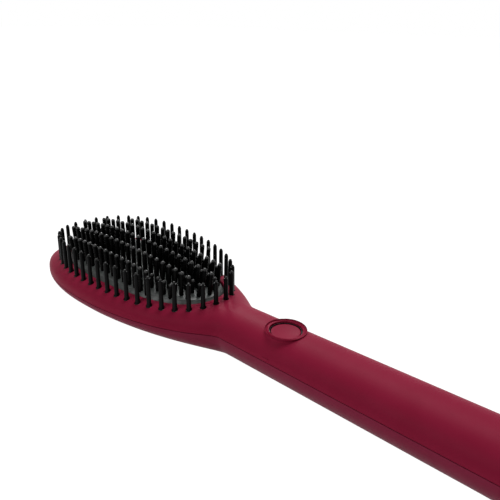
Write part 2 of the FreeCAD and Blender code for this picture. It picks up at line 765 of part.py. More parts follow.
def frame_posts():
    """Stepped posts: the shoulder carries the heat shield and the top carries the frame."""
    posts = []
    for place in frame_post_places():
        stem = post(place.x, place.y, FRAME_POST_RADIUS, -REST_DEPTH, FRAME_BOTTOM)
        shoulder = post(place.x, place.y, FRAME_POST_RADIUS + FRAME_POST_SHOULDER, -REST_DEPTH, SHOULDER_TOP)
        posts.append(stem.fuse(shoulder))
    return posts


def heat_shield():
    """Thin sheet between the heater and the back of the brush, threaded over the posts."""
    sheet = oval_slab(plate_oval(SHIELD_INSET), SHOULDER_TOP, SHIELD_TOP)
    holes = [post(place.x, place.y, FRAME_POST_RADIUS + SCREW_GAP, SHOULDER_TOP, SHIELD_TOP)
             for place in frame_post_places()]
    return sheet.cut(holes)


def thermistor():
    """Temperature sensor on the underside of the plate."""
    bottom = PLATE_BOTTOM - THERMISTOR_HEIGHT
    return box_at(THERMISTOR_X, THERMISTOR_Y, THERMISTOR_LENGTH, THERMISTOR_WIDTH, bottom, THERMISTOR_HEIGHT)


def fuse_start():
    """Front end of the thermal fuse, at the tab of the upper electrode strip."""
    return STACK_END + ELECTRODE_TAB


def fuse_height():
    """Height of the thermal fuse's axis, in line with the tab of the upper electrode strip."""
    return PLATE_BOTTOM - FUSE_RADIUS - SLEEVE_FILM / 2


def thermal_fuse():
    """Thermal cut-out in line with one heater lead."""
    fuse = barrel(fuse_start(), fuse_start() + FUSE_LENGTH, FUSE_RADIUS, fuse_height())
    fuse.translate(Vector(0, electrode_tab_y(), 0))
    return fuse


def rounded_tube(points, radius):
    """Wire along straight runs that are joined by arcs as large as the runs allow."""
    edges = []
    start = points[0]
    for before, corner, after in zip(points, points[1:], points[2:]):
        to_before = (before - corner).normalize()
        to_after = (after - corner).normalize()
        shorter = min(before.distanceToPoint(corner), after.distanceToPoint(corner))
        setback = LEAD_BEND_SHARE * shorter
        half_angle = to_before.getAngle(to_after) / 2
        bend_radius = setback * math.tan(half_angle)
        towards_centre = (to_before + to_after).normalize()
        centre_distance = setback / math.cos(half_angle)
        arc_start = corner + to_before * setback
        arc_end = corner + to_after * setback
        arc_middle = corner + towards_centre * (centre_distance - bend_radius)
        edges.append(Part.makeLine(start, arc_start))
        edges.append(Part.Arc(arc_start, arc_middle, arc_end).toShape())
        start = arc_end
    edges.append(Part.makeLine(start, points[-1]))
    path = Part.Wire(edges)
    profile = Part.Wire(Part.makeCircle(radius, points[0], points[1] - points[0]))
    return path.makePipeShell([profile], True, False)


def lead_route(start, run, y):
    """Points of a lead from under the plate, past the frame and the retainer, to the terminal block."""
    dip = plate_oval(FRAME_WIDTH)[2] - 2 * run
    past_retainer = RING_NECK_REACH + RETAINER_HALF_WIDTH + run
    return [
        start,
        start + ALONG * run,
        Vector(dip, y, LEAD_LOW),
        Vector(past_retainer, y, LEAD_LOW),
        Vector(FRONT_BLOCK_X - run, y, LEAD_HIGH),
        Vector(FRONT_BLOCK_X, y, LEAD_HIGH),
    ]


def heater_leads():
    """Two leads that feed the heating stones, one of them through the thermal fuse."""
    tab_y = electrode_tab_y()
    lower_tab = SLEEVE_BOTTOM + SLEEVE_FILM + ELECTRODE_THICKNESS / 2
    run = 3 * HEATER_LEAD_RADIUS
    fused = lead_route(Vector(fuse_start() + FUSE_LENGTH, tab_y, fuse_height()), run, HEATER_LEAD_Y)
    plain = lead_route(Vector(fuse_start(), -tab_y, lower_tab), run, -HEATER_LEAD_Y)
    return Part.makeCompound([rounded_tube(points, HEATER_LEAD_RADIUS) for points in (fused, plain)])


def sensor_leads():
    """Two thin leads from the temperature sensor."""
    start_x = THERMISTOR_X + THERMISTOR_LENGTH / 2
    start_z = PLATE_BOTTOM - THERMISTOR_HEIGHT / 2
    run = 3 * SENSOR_LEAD_RADIUS
    leads = []
    for side in (-0.5, 0.5):
        shift = side * SENSOR_LEAD_PITCH
        start = Vector(start_x, THERMISTOR_Y + shift, start_z)
        points = lead_route(start, run, -SENSOR_LEAD_Y + shift)
        leads.append(rounded_tube(points, SENSOR_LEAD_RADIUS))
    return Part.makeCompound(leads)


def power_button():
    """Round button with a shallow dish and a flange that keeps it under the light ring."""
    cap = post(BUTTON_X, 0, BUTTON_RADIUS, BUTTON_BOTTOM, BUTTON_TOP)
    flange = post(BUTTON_X, 0, BUTTON_RADIUS + BUTTON_FLANGE, BUTTON_BOTTOM, BUTTON_FLANGE_TOP)
    reach = BUTTON_RADIUS - BUTTON_DISH
    dish_radius = (reach ** 2 + BUTTON_DISH ** 2) / (2 * BUTTON_DISH)
    dish = Part.makeSphere(dish_radius, Vector(BUTTON_X, 0, BUTTON_TOP - BUTTON_DISH + dish_radius))
    return cap.fuse(flange).removeSplitter().cut(dish)


def light_ring():
    """Ring round the button that glows when the brush is on, glued under the collar by its flange."""
    outside = post(BUTTON_X, 0, LIGHT_RING_OUTER, LIGHT_RING_BOTTOM, LIGHT_RING_TOP)
    flange = post(BUTTON_X, 0, LIGHT_RING_OUTER + LIGHT_RING_FLANGE, LIGHT_RING_BOTTOM, COLLAR_UNDERSIDE)
    bore = post(BUTTON_X, 0, LIGHT_RING_INNER, LIGHT_RING_BOTTOM, LIGHT_RING_TOP)
    return outside.fuse(flange).removeSplitter().cut(bore)


def tact_switch():
    """Body of the switch under the button, with a well for its plunger."""
    body = box_at(BUTTON_X, 0, TACT_SIZE, TACT_SIZE, BOARD_TOP, TACT_HEIGHT)
    well = post(BUTTON_X, 0, PLUNGER_RADIUS + PLUNGER_WELL_GAP, plunger_bottom() - BUTTON_TRAVEL - BUTTON_GAP,
                TACT_TOP)
    return body.cut(well)


def plunger_bottom():
    """Lower end of the plunger at rest."""
    return TACT_TOP - PLUNGER_FOOT


def tact_plunger():
    """Plunger of the switch, which the button pushes down."""
    return post(BUTTON_X, 0, PLUNGER_RADIUS, plunger_bottom(), BUTTON_BOTTOM)


def indicator_lights():
    """Small lights on the board beside the switch, under the light ring."""
    lights = []
    for side in (-1, 1):
        y = side * LIGHT_OFFSET
        lights.append(box_at(BUTTON_X, y, LIGHT_SIZE, LIGHT_SIZE, BOARD_TOP, LIGHT_HEIGHT))
    return Part.makeCompound(lights)


def board_screw_places():
    """Places of the board's four screws."""
    return [(x, side * BOARD_SCREW_Y) for x in (FRONT_SCREW_X, REAR_SCREW_X) for side in (-1, 1)]


def main_board():
    """Circuit board in the handle."""
    board = block(BOARD_START, BOARD_END, BOARD_HALF_WIDTH, BOARD_BOTTOM, BOARD_TOP)
    holes = [post(x, y, BOARD_SCREW_RADIUS + SCREW_GAP, BOARD_BOTTOM, BOARD_TOP)
             for x, y in board_screw_places()]
    return board.cut(holes)


def board_screws():
    """Screws from the board into the rear casing's posts."""
    tip = BOARD_BOTTOM - 2 * BOARD_POST_RADIUS
    return Part.makeCompound([screw(x, y, BOARD_SCREW_RADIUS, BOARD_TOP, tip, False)
                              for x, y in board_screw_places()])


def terminal_blocks():
    """Blocks on the board for the heater's leads, in front, and for the cord, behind."""
    blocks = [block(x, x + BLOCK_LENGTH, BLOCK_HALF_WIDTH, BOARD_TOP, BOARD_TOP + BLOCK_HEIGHT)
              for x in (FRONT_BLOCK_X, REAR_BLOCK_X)]
    return Part.makeCompound(blocks)


def control_chip():
    """Controller of the heater."""
    return box_at(CHIP_X + CHIP_LENGTH / 2, 0, CHIP_LENGTH, CHIP_WIDTH, BOARD_TOP, CHIP_HEIGHT)


def film_capacitor():
    """Film capacitor across the mains."""
    middle = FILM_CAP_X + FILM_CAP_LENGTH / 2
    return box_at(middle, 0, FILM_CAP_LENGTH, FILM_CAP_WIDTH, BOARD_TOP, FILM_CAP_HEIGHT)


def power_triac():
    """Switching device for the heater's current."""
    return box_at(TRIAC_X + TRIAC_LENGTH / 2, 0, TRIAC_LENGTH, TRIAC_WIDTH, BOARD_TOP, TRIAC_HEIGHT)


def smoothing_capacitor():
    """Round capacitor that lies on the board on a small flat foot."""
    end = SMOOTHING_CAP_X + SMOOTHING_CAP_LENGTH
    axis_height = BOARD_TOP + SMOOTHING_CAP_FOOT + SMOOTHING_CAP_RADIUS
    can = barrel(SMOOTHING_CAP_X, end, SMOOTHING_CAP_RADIUS, axis_height)
    foot = block(SMOOTHING_CAP_X, end, SMOOTHING_CAP_RADIUS / 2, BOARD_TOP, axis_height)
    return can.fuse(foot).removeSplitter()


def case_screws():
    """Screws that join the two casings from the back of the handle."""
    seat = -REST_DEPTH + CASE_SCREW_SINK
    return Part.makeCompound([screw(x, 0, CASE_SCREW_RADIUS, seat, CASE_SCREW_GRIP, True)
                              for x in CASE_SCREW_PLACES])


def cord_clamp_places():
    """Places of the two screws of the cord clamp."""
    return [(CORD_CLAMP_X, side * CORD_CLAMP_Y) for side in (-1, 1)]


def cord_clamp():
    """Arched bar that holds the cord down inside the handle."""
    low = CORD_CLAMP_X - CORD_CLAMP_LENGTH / 2
    high = CORD_CLAMP_X + CORD_CLAMP_LENGTH / 2
    ears = block(low, high, CORD_CLAMP_Y + CORD_CLAMP_POST_RADIUS, 0, CORD_CLAMP_EAR)
    hump = block(low, high, CORD_RADIUS + CORD_CLAMP_ARCH, 0, CORD_RADIUS + CORD_CLAMP_ARCH)
    holes = [post(x, y, CORD_CLAMP_SCREW_RADIUS + SCREW_GAP, 0, CORD_CLAMP_EAR)
             for x, y in cord_clamp_places()]
    return ears.fuse(hump).removeSplitter().cut([barrel(low, high, CORD_RADIUS, 0)] + holes)


def cord_clamp_screws():
    """Screws of the cord clamp."""
    tip = -CORD_CLAMP_SCREW_GRIP
    return Part.makeCompound([screw(x, y, CORD_CLAMP_SCREW_RADIUS, CORD_CLAMP_EAR, tip, False)
                              for x, y in cord_clamp_places()])


def swivel_gland():
    """Turning sleeve that the cord comes out of, kept by a flange inside the handle's end wall."""
    wall_start = HANDLE_REACH - END_WALL
    flange_end = wall_start - GLAND_END_GAP
    flange_start = flange_end - GLAND_FLANGE_LENGTH
    sleeve_start = HANDLE_REACH + GLAND_END_GAP
    points = [
        (CORD_HOLE_RADIUS, flange_start),
        (GLAND_FLANGE_RADIUS, flange_start),
        (GLAND_FLANGE_RADIUS, flange_end),
        (GLAND_NECK_RADIUS, flange_end),
        (GLAND_NECK_RADIUS, sleeve_start),
        (GLAND_SLEEVE_RADIUS, sleeve_start),
        (GLAND_TIP_RADIUS, GLAND_END),
        (CORD_HOLE_RADIUS, GLAND_END),
    ]
    gland = turned(points)
    gland.rotate(Vector(0, 0, 0), Vector(0, 1, 0), 90)
    return gland


def gland_hole():
    """Hole in the handle's end wall that the gland turns in."""
    return barrel(HANDLE_REACH - 2 * END_WALL, GLAND_END, GLAND_HOLE_RADIUS, 0)


def button_collar():
    """Raised collar round the button, spreading towards the handle, with a rounded rim."""
    spread = COLLAR_RADIUS + COLLAR_SPREAD
    collar = Part.makeCone(spread, COLLAR_RADIUS, COLLAR_DEPTH, Vector(BUTTON_X, 0, COLLAR_UNDERSIDE))
    rim = [edge for edge in collar.Edges if edge.BoundBox.ZMin > COLLAR_TOP - COLLAR_ROUND]
    return collar.makeFillet(COLLAR_ROUND, rim)


def front_casing():
    """Upper shell with the plate's window, bristle holes, button collar and screw bosses."""
    outside = front_block(0)
    wall_outside = plate_oval(-WINDOW_GAP - COLLAR_WALL)
    collar_wall = oval_ring(wall_outside, plate_oval(-WINDOW_GAP), COLLAR_BOTTOM, HEAD_CROWN)
    bosses = [post(x, 0, CASE_POST_RADIUS, 0, HANDLE_CROWN) for x in CASE_SCREW_PLACES]
    inner_pieces = [piece.common(outside) for piece in [collar_wall] + bosses]
    shell = outside.cut(front_block(WALL)).fuse(inner_pieces + [button_collar()])
    window = oval_slab(plate_oval(-WINDOW_GAP), PLATE_BOTTOM - WALL, FAR)
    well = post(BUTTON_X, 0, WELL_RADIUS, 0, FAR)
    threads = [post(x, 0, CASE_SCREW_RADIUS + SCREW_GAP, 0, CASE_SCREW_GRIP + SCREW_GAP)
               for x in CASE_SCREW_PLACES]
    return shell.cut([window, well, gland_hole()] + threads + bristle_holes()).removeSplitter()


def rear_casing():
    """Lower shell with its flat back, the posts inside it and the screw holes."""
    outside = rear_block(0)
    posts = [post(x, y, BOARD_POST_RADIUS, -REST_DEPTH, BOARD_BOTTOM) for x, y in board_screw_places()]
    posts += [post(x, 0, CASE_POST_RADIUS, -REST_DEPTH, 0) for x in CASE_SCREW_PLACES]
    posts += [post(x, y, CORD_CLAMP_POST_RADIUS, -REST_DEPTH, 0) for x, y in cord_clamp_places()]
    posts.append(retainer_rib())
    lower_frame_posts = [piece.common(outside) for piece in frame_posts()]
    upper_frame_posts = [post(place.x, place.y, FRAME_POST_RADIUS, -WALL, FRAME_BOTTOM)
                         for place in frame_post_places()]
    inner_pieces = [piece.common(outside) for piece in posts] + lower_frame_posts + upper_frame_posts
    shell = outside.cut(rear_block(WALL)).fuse(inner_pieces)
    sink_top = -REST_DEPTH + CASE_SCREW_SINK
    holes = []
    for x in CASE_SCREW_PLACES:
        holes.append(post(x, 0, CASE_SCREW_RADIUS + SCREW_GAP, -REST_DEPTH, 0))
        holes.append(post(x, 0, CASE_SCREW_RADIUS * SCREW_HEAD_RATIO + SCREW_GAP, -REST_DEPTH, sink_top))
    board_tip = BOARD_BOTTOM - 2 * BOARD_POST_RADIUS - SCREW_GAP
    holes += [post(x, y, BOARD_SCREW_RADIUS + SCREW_GAP, board_tip, BOARD_BOTTOM)
              for x, y in board_screw_places()]
    clamp_tip = -CORD_CLAMP_SCREW_GRIP - SCREW_GAP
    holes += [post(x, y, CORD_CLAMP_SCREW_RADIUS + SCREW_GAP, clamp_tip, 0)
              for x, y in cord_clamp_places()]
    return shell.cut(holes + [gland_hole()]).removeSplitter()


def cool_bristles():
    """All the cool bristles of the ring."""
    return Part.makeCompound([cool_bristle(place) for place in bristle_places()])


PIECES = (
    front_casing, rear_casing, heater_plate, long_pins, short_pins, cool_bristles, bristle_retainer,
    heater_frame, heating_stones, electrode_strips, insulation_sleeve, pressure_pad, clamp_bridge, clamp_screws,
    heat_shield, thermistor, thermal_fuse, heater_leads, sensor_leads, power_button, light_ring, tact_switch,
    tact_plunger, indicator_lights, main_board, board_screws, terminal_blocks, control_chip, film_capacitor,
    power_triac, smoothing_capacitor, case_screws, cord_clamp, cord_clamp_screws, swivel_gland,
)


def main():
    """Build every piece and write it under its own name."""
    os.makedirs("parts", exist_ok=True)
    for piece in PIECES:
        shape = piece()
        shape.translate(ORIGIN_SHIFT)
        solids = shape.Solids
        valid = all(solid.isValid() for solid in solids)
        print(piece.__name__, len(solids), round(shape.Volume, 2), "valid" if valid else "NOT VALID")
        shape.exportStep("parts/" + piece.__name__ + ".step")


main()
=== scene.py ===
"""Dressed model of a heated styling brush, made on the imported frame."""

import json
import math

import bmesh
import bpy
from mathutils import Euler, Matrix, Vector


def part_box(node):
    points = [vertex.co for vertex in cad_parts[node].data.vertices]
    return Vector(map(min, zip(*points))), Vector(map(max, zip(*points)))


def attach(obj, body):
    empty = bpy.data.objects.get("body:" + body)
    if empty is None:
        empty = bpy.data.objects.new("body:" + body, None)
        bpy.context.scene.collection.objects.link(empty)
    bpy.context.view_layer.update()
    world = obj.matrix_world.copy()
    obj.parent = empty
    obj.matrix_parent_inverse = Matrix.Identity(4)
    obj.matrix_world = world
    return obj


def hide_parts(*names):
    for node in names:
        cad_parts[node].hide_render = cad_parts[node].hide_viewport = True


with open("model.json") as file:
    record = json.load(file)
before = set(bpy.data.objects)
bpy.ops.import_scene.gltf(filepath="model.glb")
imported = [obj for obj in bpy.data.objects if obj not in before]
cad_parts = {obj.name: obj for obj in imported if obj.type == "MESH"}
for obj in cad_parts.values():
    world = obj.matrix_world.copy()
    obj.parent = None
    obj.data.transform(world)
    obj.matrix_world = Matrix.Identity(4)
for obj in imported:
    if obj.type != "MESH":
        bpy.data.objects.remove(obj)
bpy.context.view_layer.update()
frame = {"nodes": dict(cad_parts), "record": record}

MM = 0.001

# Casing, in millimetres from the head's widest point on the parting plane
HEAD_HALF_WIDTH = 33.7
HEAD_TIP_REACH = 56.86
HEAD_NECK_REACH = 76.4
PLAN_POWER = 2.2
NECK_PLAN_POWER = 1.97
HANDLE_HALF_WIDTH = 11.5
HANDLE_FLARE = 3.0
HANDLE_REACH = 220.0
NECK_BLEND_POWER = 4.0
HEAD_CROWN = 9.3
HANDLE_CROWN = 9.1
CROWN_FLARE = 1.2
HEAD_EDGE_POWER = 3.4
HANDLE_EDGE_POWER = 2.1
TIP_CROWN_POWER = 2.4
REAR_DEPTH = 13.6
REAR_FLARE = 1.4
REAR_POWER = 1.85
REST_DEPTH = 12.0
REST_BLEND = 1.0
NECK_START = 12.0
NECK_END = 78.0
END_ROUND = 12.0
END_DROP = 0.34
END_EDGE = 0.7
END_WALL = 2.0
SHELL_WALL = 1.6
PARTING_GROOVE = 0.17
GROOVE_DEPTH = 0.9
TONGUE_DROP = 0.7

# Heater plate and its window
PLATE_HALF_WIDTH = 24.2
PLATE_TIP_REACH = 43.3
PLATE_NECK_REACH = 61.0
PLATE_PEAK = 12.0
PLATE_PEAK_X = 5.0
PLATE_BOTTOM = 6.0
PLATE_LONG_RADIUS = 600.0
PLATE_CROSS_RADIUS = 100.0
PLATE_BEVEL = 1.6
PLATE_BEVEL_DROP = 2.2
PLATE_FOOT_INSET = 0.6
PLATE_FOOT_RISE = 0.3
PLATE_BEVEL_LEAD = 0.1
PLATE_SOFT = 0.12
PLATE_EDGE_INSET = 0.25
PLATE_CREST_INSET = 0.03
PLATE_BEVEL_STEPS = 4
PLATE_DOME_RINGS = 16
PLATE_SHARP_ANGLE = 50.0
WINDOW_GAP = 0.4
WINDOW_EDGE = 0.45
WINDOW_DROP = 1.0

# Heated pins
PIN_PITCH = 4.3
PIN_ROW_PITCH = 9.5
PIN_GRID_START = 1.4
PIN_ROWS_EACH_SIDE = 2
PIN_MARGIN = 1.3
PIN_RADIUS = 1.05
PIN_TOP = 24.8
PIN_TIP_DROP = 4.7
PIN_NECK_DROP = 3.7
PIN_SIDE_DROP = 1.9
PIN_FAN = 0.0024
PIN_SINK = 0.8
SHORT_PIN_DROP = 5.0
SHORT_PIN_RADIUS = 0.95
PIN_SIDES = 14
PIN_SHARP_ANGLE = 60.0

# Cool bristles
RING_HALF_WIDTH = 28.4
RING_TIP_REACH = 47.5
RING_NECK_REACH = 65.1
BRISTLE_COUNT = 44
BRISTLE_TOP = 22.3
BRISTLE_TIP_DROP = 3.1
BRISTLE_NECK_DROP = 2.0
BRISTLE_BASE_RADIUS = 1.1
BRISTLE_TOP_RADIUS = 0.95
BRISTLE_NUB_RADIUS = 0.75
BRISTLE_NUB_HEIGHT = 1.1
BRISTLE_NECK_SHARE = 0.8
BRISTLE_NECK_HEIGHT = 0.25
BRISTLE_SIDES = 16
BRISTLE_SHARP_ANGLE = 45.0
FOOT_RADIUS = 1.4
FOOT_DROP = 0.4
FOOT_SINK = 1.4
FOOT_HOLE_RADIUS = 1.52
FOOT_HOLE_SIDES = 40
HOLE_CUT_REACH = 4.0
FOOT_RIM_SHARE = 0.9
FOOT_RIM_RISE = 0.15

# Button, light ring and collar
BUTTON_X = 102.3
BUTTON_RADIUS = 6.2
BUTTON_TOP = 8.65
BUTTON_DISH = 0.5
BUTTON_DISH_STEPS = 8
BUTTON_EDGE = 0.35
BUTTON_BOTTOM = 2.6
BUTTON_FLANGE_TOP = 3.6
BUTTON_FLANGE = 1.1
LIGHT_RING_INNER = 6.5
LIGHT_RING_OUTER = 6.95
LIGHT_RING_TOP = 8.85
LIGHT_RING_FLANGE = 0.7
LIGHT_RING_EDGE = 0.12
COLLAR_UNDERSIDE = 4.8
WELL_RADIUS = 7.0
WELL_FLOOR = 5.0
WELL_EDGE = 0.3
COLLAR_TOP = 9.55
COLLAR_RADIUS = 7.5
COLLAR_SPREAD = 2.9
COLLAR_DEPTH = 4.75
COLLAR_BLEND = 1.5
COLLAR_RIM_ROUND = 0.3
COLLAR_FALL_POWER = 1.25

# Case screws and swivel gland
CASE_SCREW_PLACES = (76.0, 186.0)
SCREW_RADIUS = 1.25
SCREW_HEAD_RADIUS = 2.25
SCREW_HEAD_HEIGHT = 1.3
SCREW_SINK = 4.0
SCREW_GRIP = 5.0
SINK_RADIUS = 2.35
SINK_EDGE = 0.25
SINK_SEAT_SHARE = 0.6
SCREW_SIDES = 40
SCREW_RECESS_REACH = 2.7
SCREW_RECESS_WIDTH = 0.6
SCREW_RECESS_SHARE = 0.6
SCREW_CROWN_SHARE = 0.8
GLAND_BORE = 3.4
GLAND_NECK_RADIUS = 5.1
GLAND_HOLE_RADIUS = 5.18
GLAND_FLANGE_RADIUS = 6.3
GLAND_FLANGE_START = 214.1
GLAND_FLANGE_END = 216.7
GLAND_SLEEVE_START = 220.3
GLAND_SLEEVE_RADIUS = 6.2
GLAND_TIP_RADIUS = 4.6
GLAND_END = 232.3
GLAND_EDGE = 0.5

# Sampling of the meshes
SPOKES = 256
HEAD_SPLIT = 72.0
NECK_HALF_LENGTH = 30.3
SINK_HALF_LENGTH = 14.0
HEAD_RINGS = 30
NECK_RINGS = 26
SINK_RINGS = 12
HEAD_CROWDING = 1.15
NECK_CROWDING = 1.7
SINK_CROWDING = 1.6
HANDLE_STEP = 2.4
TIP_STEPS = 24
EDGE_STEPS = 4
END_STEPS = 5
TURNED_SIDES = 96
DOME_RINGS = 6
THIN = 0.01
WELD_DISTANCE = 0.003
SLIVER_LENGTH = 0.001
TREE_WELD_DISTANCE = 0.002
SHARP_ANGLE = 35.0

# Camera at the photograph's viewing angle, in metres and degrees
CAMERA_SPOT = (0.13719, -0.16155, 0.13923)
CAMERA_LENS = 40.71
CAMERA_TURN = 41.586
CAMERA_TILT = 22.276
CAMERA_ROLL = 1.396

# White that the floor adds where it is seen, and its share there
FLOOR_GLOW = 1.15
FLOOR_GLOW_SHARE = 0.88

# Span of a noise that a finish spreads over its tones and gloss
NOISE_LOW = 0.3
NOISE_HIGH = 0.7

# Where the drawing's origin sits in the row frame
front_low, front_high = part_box("front_casing")
HEAD_X = front_low.x + HEAD_TIP_REACH * MM
PARTING_Z = front_low.z


def place(point):
    """Carry a point of the drawing, in millimetres, into the row frame."""
    x, y, z = point
    return Vector((HEAD_X + x * MM, y * MM, PARTING_Z + z * MM))


def falloff(share, power):
    """Half of a rounded outline: 1 in the middle and 0 at a share of 1."""
    return max(0.0, 1.0 - abs(share) ** power) ** (1.0 / power)


def ease(value, start, end):
    """Smooth step from 0 at start to 1 at end."""
    share = min(1.0, max(0.0, (value - start) / (end - start)))
    return share * share * (3.0 - 2.0 * share)


def signed_power(value, power):
    """Power of a number that keeps its sign."""
    return math.copysign(abs(value) ** power, value)


def smooth_max(first, second, width):
    """The larger of two heights, with a rounded change-over."""
    near = max(width - abs(first - second), 0.0) / width
    return max(first, second) + near * near * width / 4.0


def end_round(x):
    """Share by which the handle draws in towards its end."""
    share = max(0.0, (x - HANDLE_REACH + END_ROUND) / END_ROUND)
    return 1.0 - END_DROP * min(1.0, share) ** 3


def handle_share(x):
    """How far along the handle a place is, from 0 at the neck to 1 at its end."""
    return max(0.0, (x - NECK_END) / (HANDLE_REACH - NECK_END))


def plan_half_width(x):
    """Half width of the brush, seen from the front."""
    if x < 0:
        return HEAD_HALF_WIDTH * falloff(x / HEAD_TIP_REACH, PLAN_POWER)
    head = HEAD_HALF_WIDTH * falloff(min(1.0, x / HEAD_NECK_REACH), NECK_PLAN_POWER)
    handle = (HANDLE_HALF_WIDTH + HANDLE_FLARE * x / HANDLE_REACH) * ease(x, 0.0, NECK_START)
    joined = (head ** NECK_BLEND_POWER + handle ** NECK_BLEND_POWER) ** (1.0 / NECK_BLEND_POWER)
    return joined * end_round(x)


def crown_height(x):
    """Height of the front casing over the parting plane."""
    crown = HEAD_CROWN + (HANDLE_CROWN - HEAD_CROWN) * ease(x, NECK_START, NECK_END)
    if x < 0:
        return crown * falloff(x / HEAD_TIP_REACH, TIP_CROWN_POWER)
    return (crown + CROWN_FLARE * handle_share(x)) * end_round(x)


def edge_power(x):
    """How square the front casing's section is: boxy at the head, round at the handle."""
    return HEAD_EDGE_POWER + (HANDLE_EDGE_POWER - HEAD_EDGE_POWER) * ease(x, NECK_START, NECK_END)


def rear_depth(x):
    """Depth of the rear casing under the parting plane, before its back is made flat."""
    if x < 0:
        return REAR_DEPTH * falloff(x / HEAD_TIP_REACH, TIP_CROWN_POWER)
    return (REAR_DEPTH + REAR_FLARE * handle_share(x)) * end_round(x)


def section_point(x, turn, height, power):
    """Point of a half section, from turn -1 on the near side to 1 on the far side."""
    angle = (turn + 1.0) * math.pi / 2.0
    y = -plan_half_width(x) * signed_power(math.cos(angle), 2.0 / power)
    return Vector((x, y, height * abs(math.sin(angle)) ** (2.0 / power)))


def turn_at(x, y, power):
    """Turn of the section point that is y from the middle line."""
    share = max(-1.0, min(1.0, -y / plan_half_width(x)))
    return math.acos(signed_power(share, power / 2.0)) * 2.0 / math.pi - 1.0


def collar_height(x, y):
    """Height of the soft collar that rises round the button."""
    distance = math.hypot(x - BUTTON_X, y)
    spread = max(0.0, distance - COLLAR_RADIUS + COLLAR_RIM_ROUND)
    share = spread / (COLLAR_SPREAD + COLLAR_RIM_ROUND)
    return COLLAR_TOP - COLLAR_DEPTH * share ** COLLAR_FALL_POWER


def front_point(x, turn):
    """Point of the front casing's skin, with the collar blended in."""
    point = section_point(x, turn, crown_height(x), edge_power(x))
    if abs(x - BUTTON_X) < 2.0 * COLLAR_RADIUS:
        point.z = min(COLLAR_TOP, smooth_max(point.z, collar_height(x, point.y), COLLAR_BLEND))
    point.z = max(point.z, PARTING_GROOVE)
    return point


def rear_point(x, turn):
    """Point of the rear casing's skin, with the flat that the brush rests on."""
    point = section_point(x, turn, rear_depth(x), REAR_POWER)
    depth = -smooth_max(-point.z, -REST_DEPTH, REST_BLEND)
    point.z = -max(depth, PARTING_GROOVE)
    return point


def front_surface(x, y):
    """Height of the front casing over a place in plan."""
    return crown_height(x) * falloff(y / plan_half_width(x), edge_power(x))


def oval_point(half_width, tip_reach, neck_reach, angle):
    """Point of the head's oval at an angle from the handle's side."""
    cosine = math.cos(angle)
    reach = neck_reach if cosine > 0 else tip_reach
    x = signed_power(cosine, 2.0 / PLAN_POWER) * reach
    return x, signed_power(math.sin(angle), 2.0 / PLAN_POWER) * half_width


def window_point(angle):
    """Point on the edge of the plate's window."""
    return oval_point(PLATE_HALF_WIDTH + WINDOW_GAP, PLATE_TIP_REACH + WINDOW_GAP,
                      PLATE_NECK_REACH + WINDOW_GAP, angle)


def plate_top(x, y):
    """Height of the domed heater plate at a place in plan."""
    cross = PLATE_CROSS_RADIUS - math.sqrt(PLATE_CROSS_RADIUS ** 2 - y ** 2)
    run = x - PLATE_PEAK_X
    length = PLATE_LONG_RADIUS - math.sqrt(PLATE_LONG_RADIUS ** 2 - run ** 2)
    return PLATE_PEAK - cross - length


# Meshes


def add_rows(mesh, rows, closed):
    """Join rows of drawing points into faces."""
    made = [[mesh.verts.new(place(point)) for point in row] for row in rows]
    for lower, upper in zip(made, made[1:]):
        count = len(lower)
        for step in range(count if closed else count - 1):
            following = (step + 1) % count
            mesh.faces.new((lower[step], lower[following], upper[following], upper[step]))


def add_object(name, data):
    """Put new data into the scene as an object."""
    made = bpy.data.objects.new(name, data)
    bpy.context.scene.collection.objects.link(made)
    return made


def evaluated_mesh(made):
    """Mesh of an object with its modifiers applied."""
    graph = bpy.context.evaluated_depsgraph_get()
    return bpy.data.meshes.new_from_object(made.evaluated_get(graph))


def finish_object(mesh, name, material, sharp=SHARP_ANGLE):
    """Weld a mesh, turn its faces outwards and make it an object."""
    bmesh.ops.remove_doubles(mesh, verts=mesh.verts, dist=WELD_DISTANCE * MM)
    bmesh.ops.dissolve_degenerate(mesh, edges=mesh.edges, dist=SLIVER_LENGTH * MM)
    bmesh.ops.recalc_face_normals(mesh, faces=mesh.faces)
    data = bpy.data.meshes.new(name)
    mesh.to_mesh(data)
    mesh.free()
    data.polygons.foreach_set("use_smooth", [True] * len(data.polygons))
    data.set_sharp_from_angle(angle=math.radians(sharp))
    data.materials.append(material)
    return add_object(name, data)


def add_wall(made, thickness):
    """Give a skin its wall, inwards."""
    wall = made.modifiers.new("wall", "SOLIDIFY")
    wall.thickness = thickness * MM
    wall.offset = -1.0
    wall.use_even_offset = False


def turned_rows(profile, axis, origin, sides):
    """Turn a profile of (radius, height) points round an axis through a drawing point."""
    rows = []
    for radius, height in profile:
        row = []
        for step in range(sides):
            angle = 2.0 * math.pi * step / sides
            side, rise = radius * math.cos(angle), radius * math.sin(angle)
            offset = Vector((side, rise, height)) if axis == "z" else Vector((height, side, rise))
            row.append(Vector(origin) + offset)
        rows.append(row)
    return rows


def turned_object(name, profile, axis, origin, material):
    """Piece turned from a profile."""
    mesh = bmesh.new()
    add_rows(mesh, turned_rows(profile, axis, origin, TURNED_SIDES), True)
    return finish_object(mesh, name, material)


def rounded(profile, radius, steps=4):
    """Round the inner corners of a profile of (radius, height) points."""
    points = [Vector(point) for point in profile]
    smooth = [points[0]]
    for before, corner, after in zip(points, points[1:], points[2:]):
        reach = min(radius, (before - corner).length / 2.0, (after - corner).length / 2.0)
        start = corner + (before - corner).normalized() * reach
        end = corner + (after - corner).normalized() * reach
        for step in range(steps + 1):
            share = step / steps
            smooth.append(start.lerp(corner, share).lerp(corner.lerp(end, share), share))
    return smooth + [points[-1]]


# Casing skins


def square_rim(angle):
    """Point on the rim of a square from -1 to 1, seen from its middle."""
    reach = max(abs(math.cos(angle)), abs(math.sin(angle)))
    return math.cos(angle) / reach, math.sin(angle) / reach


